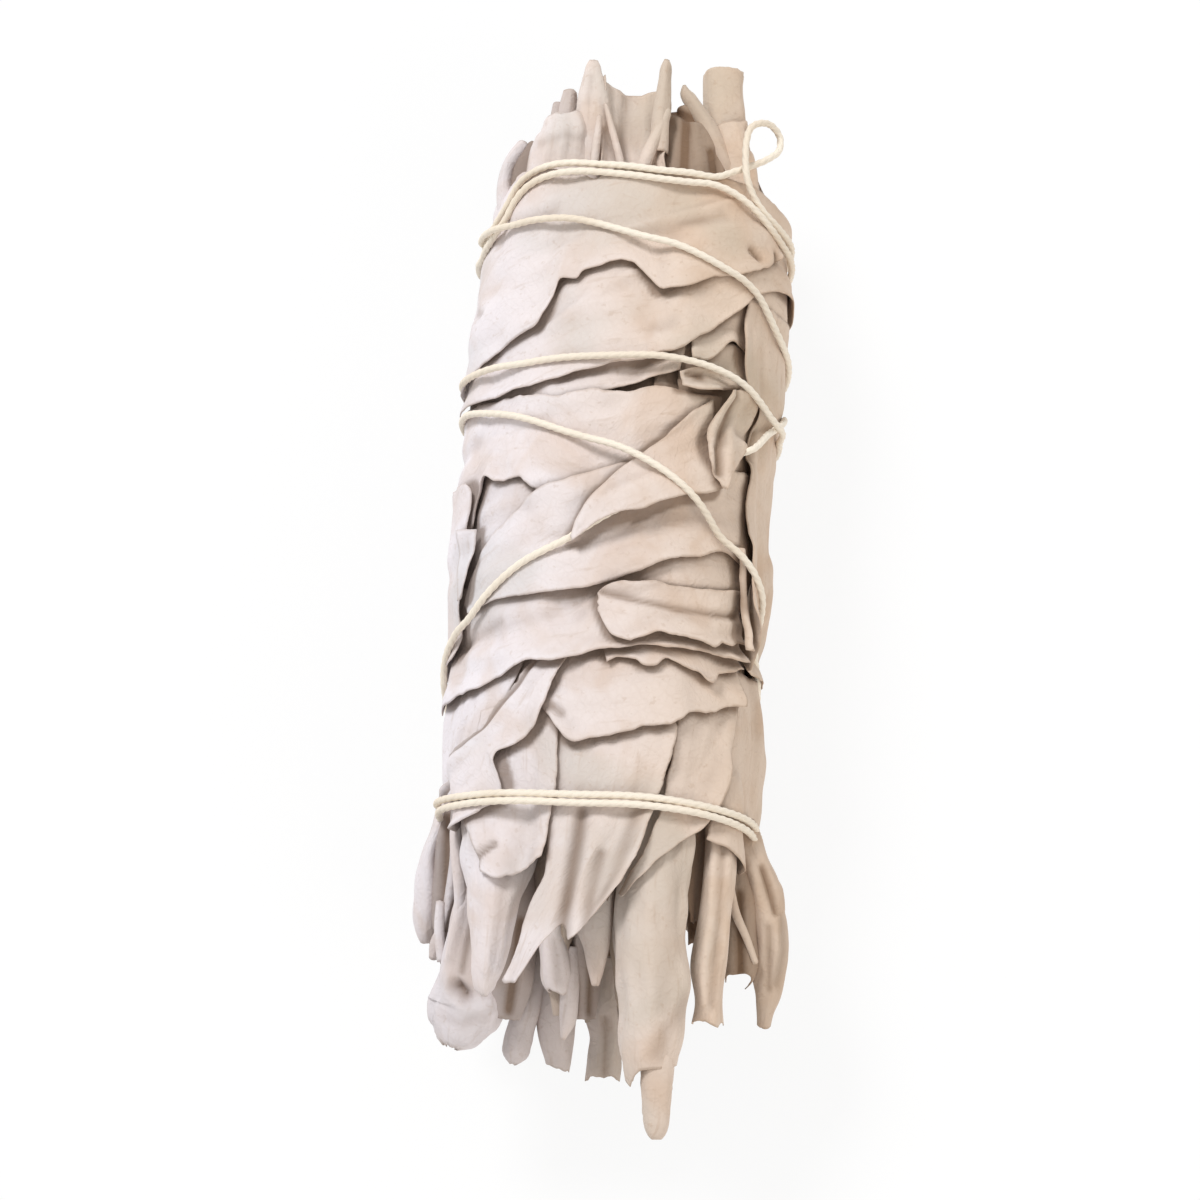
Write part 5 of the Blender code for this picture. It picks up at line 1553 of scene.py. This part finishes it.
def blend_colour(tree, share, first, second, kind="MIX"):
    inputs = {0: share, 6: first, 7: second}
    return put(tree, "ShaderNodeMix", inputs, data_type="RGBA", blend_type=kind).outputs[2]


def ramp(tree, value, low, high, to_low=0.0, to_high=1.0):
    """Maps a value from one range to another along a soft curve, held at the ends."""
    inputs = {"Value": value, "From Min": low, "From Max": high, "To Min": to_low, "To Max": to_high}
    return put(tree, "ShaderNodeMapRange", inputs, interpolation_type="SMOOTHSTEP").outputs[0]


def noise(tree, vector, scale, detail=3.0, distortion=0.0):
    inputs = {"Vector": vector, "Scale": scale, "Detail": detail, "Distortion": distortion}
    return put(tree, "ShaderNodeTexNoise", inputs).outputs["Fac"]


def new_finish(name, roughness, sheen=0.0):
    """A material, its node tree and its shader, with what is the same all over the surface set on the
    shader."""
    material = bpy.data.materials.new(name)
    material.use_nodes = True
    shader = material.node_tree.nodes["Principled BSDF"]
    shader.inputs["Roughness"].default_value = roughness
    shader.inputs["Sheen Weight"].default_value = sheen
    shader.inputs["Sheen Roughness"].default_value = 0.5
    shader.inputs["Specular IOR Level"].default_value = 0.25
    return material, material.node_tree, shader


CREVICE_REACH = 0.0015  # how far off, in metres, another surface still darkens a crevice with painted shade
CREVICE_SHADE_BROWN = (0.34, 0.25, 0.19, 1)
# Towards +X and towards the stems the leaves grow tanner and darker, and towards -X cooler and paler: partly
# their own tan, partly painted light, cool light on the -X side and warm shade on the +X side.
COOL_LIT_SIDE, WARM_SHADED_SIDE = (0.98, 1.01, 1.13, 1), (0.87, 0.765, 0.66, 1)


def sage_finish(name, pale, warm, cool, dark, rim):
    """Dried sage: pale felted skin over a fine net of veins, blotched warmer and cooler, and browner at the
    rims. It is darker in creases, in crevices and under other leaves, which is painted shade, and tinted across
    the bundle partly by painted light."""
    material, tree, shader = new_finish(name, 0.88, 0.12)
    place = put(tree, "ShaderNodeAttribute", attribute_name="leaf_place").outputs["Vector"]
    state = put(tree, "ShaderNodeAttribute", attribute_name="leaf_state").outputs["Vector"]
    tone = put(tree, "ShaderNodeAttribute", attribute_name="leaf_tone").outputs["Fac"]
    parts = put(tree, "ShaderNodeSeparateXYZ", {0: state}).outputs
    where = put(tree, "ShaderNodeSeparateXYZ", {0: place}).outputs
    solid = put(tree, "ShaderNodeTexCoord").outputs["Object"]

    # Side veins slant away from the midrib every few millimetres, and a fine net fills in between.
    aside = maths(tree, "ABSOLUTE", where[0])
    bend = noise(tree, place, 0.22, 2.0)
    slanting = maths(tree, "ADD", where[1], maths(tree, "MULTIPLY", aside, -0.8))
    slanting = maths(tree, "ADD", slanting, maths(tree, "MULTIPLY", bend, 3.0))
    side_vein = ramp(tree, maths(tree, "PINGPONG", slanting, 1.5), 0.0, 0.32, 1.0, 0.0)
    midrib = ramp(tree, maths(tree, "ADD", aside, maths(tree, "MULTIPLY", bend, 0.5)), 0.3, 0.7, 1.0, 0.0)
    cells = {"Vector": place, "Scale": 1.25, "Randomness": 1.0}
    net = put(tree, "ShaderNodeTexVoronoi", cells, feature="DISTANCE_TO_EDGE").outputs["Distance"]
    net = ramp(tree, net, 0.0, 0.22, 1.0, 0.0)
    stretched = put(tree, "ShaderNodeMapping", {"Vector": place, "Scale": (1.0, 0.16, 1.0)}).outputs[0]
    streak = noise(tree, stretched, 1.5, 4.0)
    felt = noise(tree, solid, 6500.0, 2.0)
    speck = noise(tree, solid, 1500.0, 3.0)
    blotch = noise(tree, solid, 130.0, 3.0, 0.6)
    patch = noise(tree, solid, 60.0, 2.0, 0.3)

    colour = blend_colour(tree, ramp(tree, blotch, 0.42, 0.68), pale, warm)
    colour = blend_colour(tree, ramp(tree, patch, 0.5, 0.68, 0.0, 0.75), colour, cool)
    colour = blend_colour(tree, ramp(tree, streak, 0.55, 0.75, 0.0, 0.35), colour, rim)
    colour = blend_colour(tree, maths(tree, "MULTIPLY", side_vein, 0.05), colour, rim)
    colour = blend_colour(tree, maths(tree, "MULTIPLY", net, 0.05), colour, rim)
    colour = blend_colour(tree, ramp(tree, speck, 0.62, 0.72, 0.0, 0.3), colour, rim)
    edge = maths(tree, "ADD", parts[0], maths(tree, "MULTIPLY", noise(tree, place, 1.1, 3.0), 0.5))
    colour = blend_colour(tree, ramp(tree, edge, 0.2, 0.55, 0.5, 0.0), colour, rim)
    # Painted shade: creases darken towards the dark colour, along with each piece's tone.
    darkened = maths(tree, "ADD", tone, maths(tree, "MULTIPLY", parts[2], 0.75), clamp=True)
    colour = blend_colour(tree, darkened, colour, dark)
    # Painted shade: places under other leaves, deep in rolls and on inner faces darken towards the dark colour.
    colour = blend_colour(tree, maths(tree, "MULTIPLY", parts[1], 0.75, clamp=True), colour, dark)
    # Painted shade: crevices where another surface lies within CREVICE_REACH darken towards brown.
    open_air = put(tree, "ShaderNodeAmbientOcclusion", {"Distance": CREVICE_REACH}, samples=8).outputs["AO"]
    colour = blend_colour(tree, ramp(tree, open_air, 0.05, 0.75, 0.48, 0.0), colour, CREVICE_SHADE_BROWN)
    # Partly the leaves' own tan and partly painted light: the colour is tinted cooler and paler towards -X,
    # warmer and darker towards +X and the stems.
    spot = put(tree, "ShaderNodeSeparateXYZ", {0: solid}).outputs
    warmth = maths(tree, "ADD", spot[0], maths(tree, "MULTIPLY", maths(tree, "MAXIMUM", spot[1], 0.0), 0.15))
    side_light_tint = blend_colour(tree, ramp(tree, warmth, -0.016, 0.017), COOL_LIT_SIDE, WARM_SHADED_SIDE)
    colour = blend_colour(tree, 1.0, colour, side_light_tint, "MULTIPLY")
    tree.links.new(colour, shader.inputs["Base Color"])

    relief = 0.0
    for part, amount in ((side_vein, 0.2), (midrib, 0.3), (net, 0.25), (streak, 0.7), (felt, 0.22)):
        relief = maths(tree, "ADD", relief, maths(tree, "MULTIPLY", part, amount))
    bump = put(tree, "ShaderNodeBump", {"Strength": 0.55, "Distance": 0.00012, "Height": relief}).outputs[0]
    tree.links.new(bump, shader.inputs["Normal"])
    return material


def string_finish(cream, stained, fibrous, hollow):
    """Cotton: cream plies, paler where they stand out, with fine fibres along them."""
    material, tree, shader = new_finish("cotton_string", 0.8, 0.2)
    place = put(tree, "ShaderNodeAttribute", attribute_name="ply_place").outputs["Vector"]
    parts = put(tree, "ShaderNodeSeparateXYZ", {0: place}).outputs
    solid = put(tree, "ShaderNodeTexCoord").outputs["Object"]
    groove = ramp(tree, maths(tree, "ABSOLUTE", parts[2]), 0.55, 1.05)
    stretched = put(tree, "ShaderNodeMapping", {"Vector": place, "Scale": (9.0, 0.8, 0.0)}).outputs[0]
    fibre = noise(tree, stretched, 1.0, 4.0)
    stain_and_crease_shade = noise(tree, solid, 90.0, 2.0)
    colour = blend_colour(tree, ramp(tree, stain_and_crease_shade, 0.45, 0.7), cream, stained)
    colour = blend_colour(tree, ramp(tree, fibre, 0.5, 0.75, 0.0, 0.35), colour, fibrous)
    # Painted shade: the plies darken towards the grooves between them.
    colour = blend_colour(tree, maths(tree, "MULTIPLY", groove, 0.3), colour, hollow)
    tree.links.new(colour, shader.inputs["Base Color"])
    bump = put(tree, "ShaderNodeBump", {"Strength": 0.5, "Distance": 0.00006, "Height": fibre}).outputs[0]
    tree.links.new(bump, shader.inputs["Normal"])
    return material


DRIED_SAGE = sage_finish(
    "dried_sage",
    pale=(0.80, 0.735, 0.685, 1),
    warm=(0.72, 0.615, 0.53, 1),
    cool=(0.66, 0.63, 0.575, 1),
    dark=(0.235, 0.165, 0.115, 1),
    rim=(0.55, 0.44, 0.345, 1),
)
INNER_SAGE = sage_finish(
    "inner_sage",
    pale=(0.62, 0.52, 0.42, 1),
    warm=(0.50, 0.38, 0.27, 1),
    cool=(0.50, 0.45, 0.36, 1),
    dark=(0.13, 0.085, 0.055, 1),
    rim=(0.36, 0.26, 0.17, 1),
)
COTTON_STRING = string_finish(
    cream=(0.88, 0.80, 0.68, 1),
    stained=(0.80, 0.70, 0.57, 1),
    fibrous=(0.66, 0.58, 0.47, 1),
    hollow=(0.55, 0.47, 0.38, 1),
)

# ---------------------------------------------------------------- laying the leaves, from the inside out

# The noise of each piece starts from its own number.
LEAF_SEED, LEAF_SEED_STEP, STEM_SEED = 100, 40, 600
SPRIG_SEED, SPRIG_STEM_SEED, ROLLED_LEAF_SEED, ROLL_SEED_STEP = 700, 800, 900, 10


def string_groove(pile, routes):
    """1 along the string and falling off beside it as a bell curve, over the unrolled bundle."""
    line = np.concatenate([string_places(route, GROOVE_SPACING)[:, :2] for route in routes])
    places = pile.places()
    near = np.full(pile.top.shape, np.inf)
    for part in np.array_split(line, 60):  # a few places at a time, to spare memory
        along = places[:, :1, 0] - part[:, 0]
        around = shortest_round(places[:1, :, 1].T - part[:, 1])
        squared = along[:, None, :] ** 2 + around[None, :, :] ** 2
        near = np.minimum(near, np.sqrt(squared.min(axis=-1)))
    return np.exp(-((near / GROOVE_WIDTH) ** 2))


def first_layer(pile, groove):
    """How high the lowest leaves lie: fuller on the two sides, gently uneven, and drawn in along the
    string."""
    sideways = np.sin(np.radians(pile.around))
    fullness = table(FIRST_LAYER, pile.along)[:, None] + RIGHT_FULLNESS * np.clip(sideways, 0, 1)
    fullness = fullness + table(LEFT_FULLNESS, pile.along)[:, None] * np.clip(-sideways, 0, 1)
    swell = SWELL_HEIGHT * ripple(pile.along[:, None], sideways * SWELL_ROUND, SWELL_SIZE, SWELL_SEED)
    return fullness + swell - GROOVE_DEPTH * groove


def covered_by_later(grids, pile):
    """For each leaf, 1 where a later leaf lies over it, and less round that leaf's rim."""
    covers, later = [], np.zeros_like(pile.top)
    for grid in reversed(grids):
        covers.append(spread(spread(later, 1, np.max), 2, np.mean))
        pile.marked(later, grid["plane"], np.ones(grid["plane"].shape[:2]))
    return covers[::-1]


def raise_over_string(pile, places, heights):
    """Raises the pile by a band as wide as the string."""
    beside = np.array([-STRING_RADIUS, 0, STRING_RADIUS])
    band = np.repeat(places[:, None, :2], 3, axis=1) + np.stack([beside, 0 * beside], axis=-1)
    pile.marked(pile.top, band, np.repeat(heights[:, None], 3, axis=1) + STRING_RADIUS)


def lay(specs, grids, pile, groove, curls_below):
    """Lays the leaves one on the other, the wrapping leaves over the curls, and the two parts of the string
    before and after the cover leaves. Gives each leaf's places, heights and the painted shade of its creases,
    and the string's places and heights."""
    settled = []
    for spec, grid, cover in zip(specs, grids, covered_by_later(grids, pile)):
        if spec is WRAP_LEAVES[0]:
            for curled in curls_below:
                pile.marked(pile.top, *curled)
        if spec is COVER_LEAVES[0]:
            places = string_places(STRING_TO_LEAF)
            heights = lay_string(places, pile, np.zeros((0, 3)), np.zeros(0))
            raise_over_string(pile, places[-STRING_UNDER_COVER:], heights[-STRING_UNDER_COVER:])
        height, stain_and_crease_shade = settle_leaf(spec, grid, pile, np.maximum(cover, groove))
        plane = grid["plane"]
        pile.marked(pile.top, plane, height)
        if "scroll" in spec:
            plane, height = scrolled(spec, grid, height)
        settled.append((plane, height, stain_and_crease_shade))
    more = string_places(STRING_TO_END)
    more_heights = lay_string(more, pile, places, heights)
    return settled, np.concatenate([places, more[1:]]), np.concatenate([heights, more_heights[1:]])


def add_leaf(sheets, spec, grid, settled, above):
    """Adds a settled leaf, with painted shade where the leaves above it stand off."""
    plane, height, stain_and_crease_shade = settled
    around = plane[..., 1] / FLAT_DEGREE
    outer = on_bundle(plane[..., 0], around, height)
    outward = on_bundle(plane[..., 0], around, height + 1) - outer
    rim = np.minimum.reduce(grid["distances"])
    # Painted shade: the second number darkens the leaf where the pile stands higher than it.
    state = np.stack([rim, smooth_step(above - height, 0.1, 0.9), stain_and_crease_shade], axis=-1)
    place = np.stack([grid["across"], grid["along"], 0 * rim + spec["seed"]], axis=-1)
    add_sheet(sheets, outer, outward, rim_thickness(rim), place, state, spec.get("tone", 0.0))


def add_bundle():
    pile, pieces = Pile(), {}
    specs = LONG_LEAVES + BACK_LEAVES + [RESTING_LEAF] + WRAP_LEAVES + COVER_LEAVES
    for number, spec in enumerate(specs + CURLS):
        spec["seed"] = LEAF_SEED + LEAF_SEED_STEP * number
    grids = [spread_leaf(spec) for spec in specs]
    groove = string_groove(pile, (STRING_TO_LEAF, STRING_TO_END))
    pile.top = first_layer(pile, groove)

    curls_below = []
    for spec in CURLS:
        outer = add_curl(pieces.setdefault(spec["name"], Sheets()), spec)
        if "marks" in spec:
            curls_below.append(over_envelope(outer))
    settled, string_rows, string_heights = lay(specs, grids, pile, groove, curls_below)
    final = spread(spread(pile.top, 1, np.max), 1, np.mean)
    for spec, grid, laid in zip(specs, grids, settled):
        add_leaf(pieces.setdefault(spec["name"], Sheets()), spec, grid, laid, pile.read(final, laid[0]))
    for number, (name, waypoints) in enumerate(STEMS.items()):
        path = np.array(sorted(waypoints), float)[:, [1, 0, 2, 3]] + [CURLS_ASIDE, 0, 0, 0]
        add_stem(pieces.setdefault(name, Sheets()), path, STEM_SEED + number, 0.04)
    extras = {spec["name"] for spec in specs + CURLS if spec.get("extra")} | {"cut_stem"}
    for name, sheets in pieces.items():
        made = sheets.piece("sage_" + name, DRIED_SAGE)
        if name not in extras:
            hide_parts(name)

    points, faces, place = string_mesh(string_rows, string_heights)
    made = new_piece("wound_string", points, faces, COTTON_STRING)
    set_vectors(made, "ply_place", place)
    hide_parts("string")


def add_rolls():
    """The sprigs inside, each a rolled leaf round a stem, and the small rolled leaves."""
    for number, (name, waypoints) in enumerate(SPRIGS.items()):
        path = world_path(waypoints, SPRIG_GAP)
        sheets = Sheets()
        roll_up(sheets, path, 1.6, 0.1 * number, SPRIG_SEED + ROLL_SEED_STEP * number, 0.1, cuts=(5.0, 3.0))
        stem = path.copy()
        stem[:, 3] = np.minimum(STEM_MOST, STEM_SHARE * path[:, 3]) + STEM_MORE
        add_stem(sheets, stem, SPRIG_STEM_SEED + number, 0.2)
        made = sheets.piece("rolled_" + name, INNER_SAGE)
        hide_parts(name)
    for number, (name, waypoints) in enumerate(ROLLED_LEAVES.items()):
        sheets, seed = Sheets(), ROLLED_LEAF_SEED + ROLL_SEED_STEP * number
        roll_up(sheets, world_path(waypoints), 1.5, 0.3, seed, 0.05, cuts=(0.3, 0.6))
        made = sheets.piece("small_" + name, DRIED_SAGE)
        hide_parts(name)


add_bundle()
add_rolls()

# ---------------------------------------------------------------- the floor, the lamps and the surroundings

FLOOR_REACH, FLOOR_WHITENESS = 2.5, 0.88
WORLD_LIGHT = 0.6

def is_seen(tree):
    """1 for rays from the camera and for mirrored and clear ones, which see the surroundings."""
    path = put(tree, "ShaderNodeLightPath").outputs
    seen = maths(tree, "MAXIMUM", path["Is Camera Ray"], path["Is Glossy Ray"])
    return maths(tree, "MAXIMUM", seen, path["Is Transmission Ray"])


def add_floor():
    """A wide white surface that shows white and keeps a soft share of the bundle's shadow."""
    corners = [(FLOOR_REACH * x, FLOOR_REACH * y, 0) for x, y in ((-1, -1), (1, -1), (1, 1), (-1, 1))]
    mesh = bpy.data.meshes.new("white_table")
    mesh.from_pydata(corners, [], [(0, 1, 2, 3)])
    floor = bpy.data.objects.new("white_table", mesh)
    bpy.context.scene.collection.objects.link(floor)
    material = bpy.data.materials.new("white_table")
    material.use_nodes = True
    tree = material.node_tree
    tree.nodes.clear()
    lit = put(tree, "ShaderNodeBsdfDiffuse", {"Color": (0.9, 0.9, 0.9, 1)}).outputs[0]
    white = put(tree, "ShaderNodeEmission", {"Color": (1, 1, 1, 1), "Strength": 1.0}).outputs[0]
    share = maths(tree, "MULTIPLY", is_seen(tree), FLOOR_WHITENESS)
    mixed = put(tree, "ShaderNodeMixShader", {0: share, 1: lit, 2: white}).outputs[0]
    put(tree, "ShaderNodeOutputMaterial", {0: mixed})
    mesh.materials.append(material)


def add_world():
    world = bpy.data.worlds.new("white_room")
    world.use_nodes = True
    bpy.context.scene.world = world
    tree = world.node_tree
    tree.nodes.clear()
    plain = put(tree, "ShaderNodeBackground", {0: (1.0, 0.985, 0.97, 1), 1: WORLD_LIGHT}).outputs[0]
    white = put(tree, "ShaderNodeBackground", {0: (1, 1, 1, 1), 1: 1.0}).outputs[0]
    mixed = put(tree, "ShaderNodeMixShader", {0: is_seen(tree), 1: plain, 2: white}).outputs[0]
    put(tree, "ShaderNodeOutputWorld", {0: mixed})


def add_lamp(name, place, size, power, colour):
    """A round lamp of this width, in metres, and power, in watts, which faces the origin."""
    data = bpy.data.lights.new(name, "AREA")
    data.shape = "DISK"
    data.size = size
    data.energy = power
    data.color = colour
    lamp = bpy.data.objects.new(name, data)
    turned = Vector(place).to_track_quat("Z", "Y").to_matrix().to_4x4()
    lamp.matrix_world = Matrix.Translation(Vector(place)) @ turned
    bpy.context.scene.collection.objects.link(lamp)


add_floor()
add_world()
add_lamp("soft_key", (-0.42, 0.52, 0.76), 0.3, 6.35, (0.97, 0.98, 1.0))
add_lamp("warm_fill", (0.5, -0.45, 0.45), 0.5, 1.9, (1.0, 0.95, 0.88))
bpy.context.scene.view_settings.view_transform = "Standard"
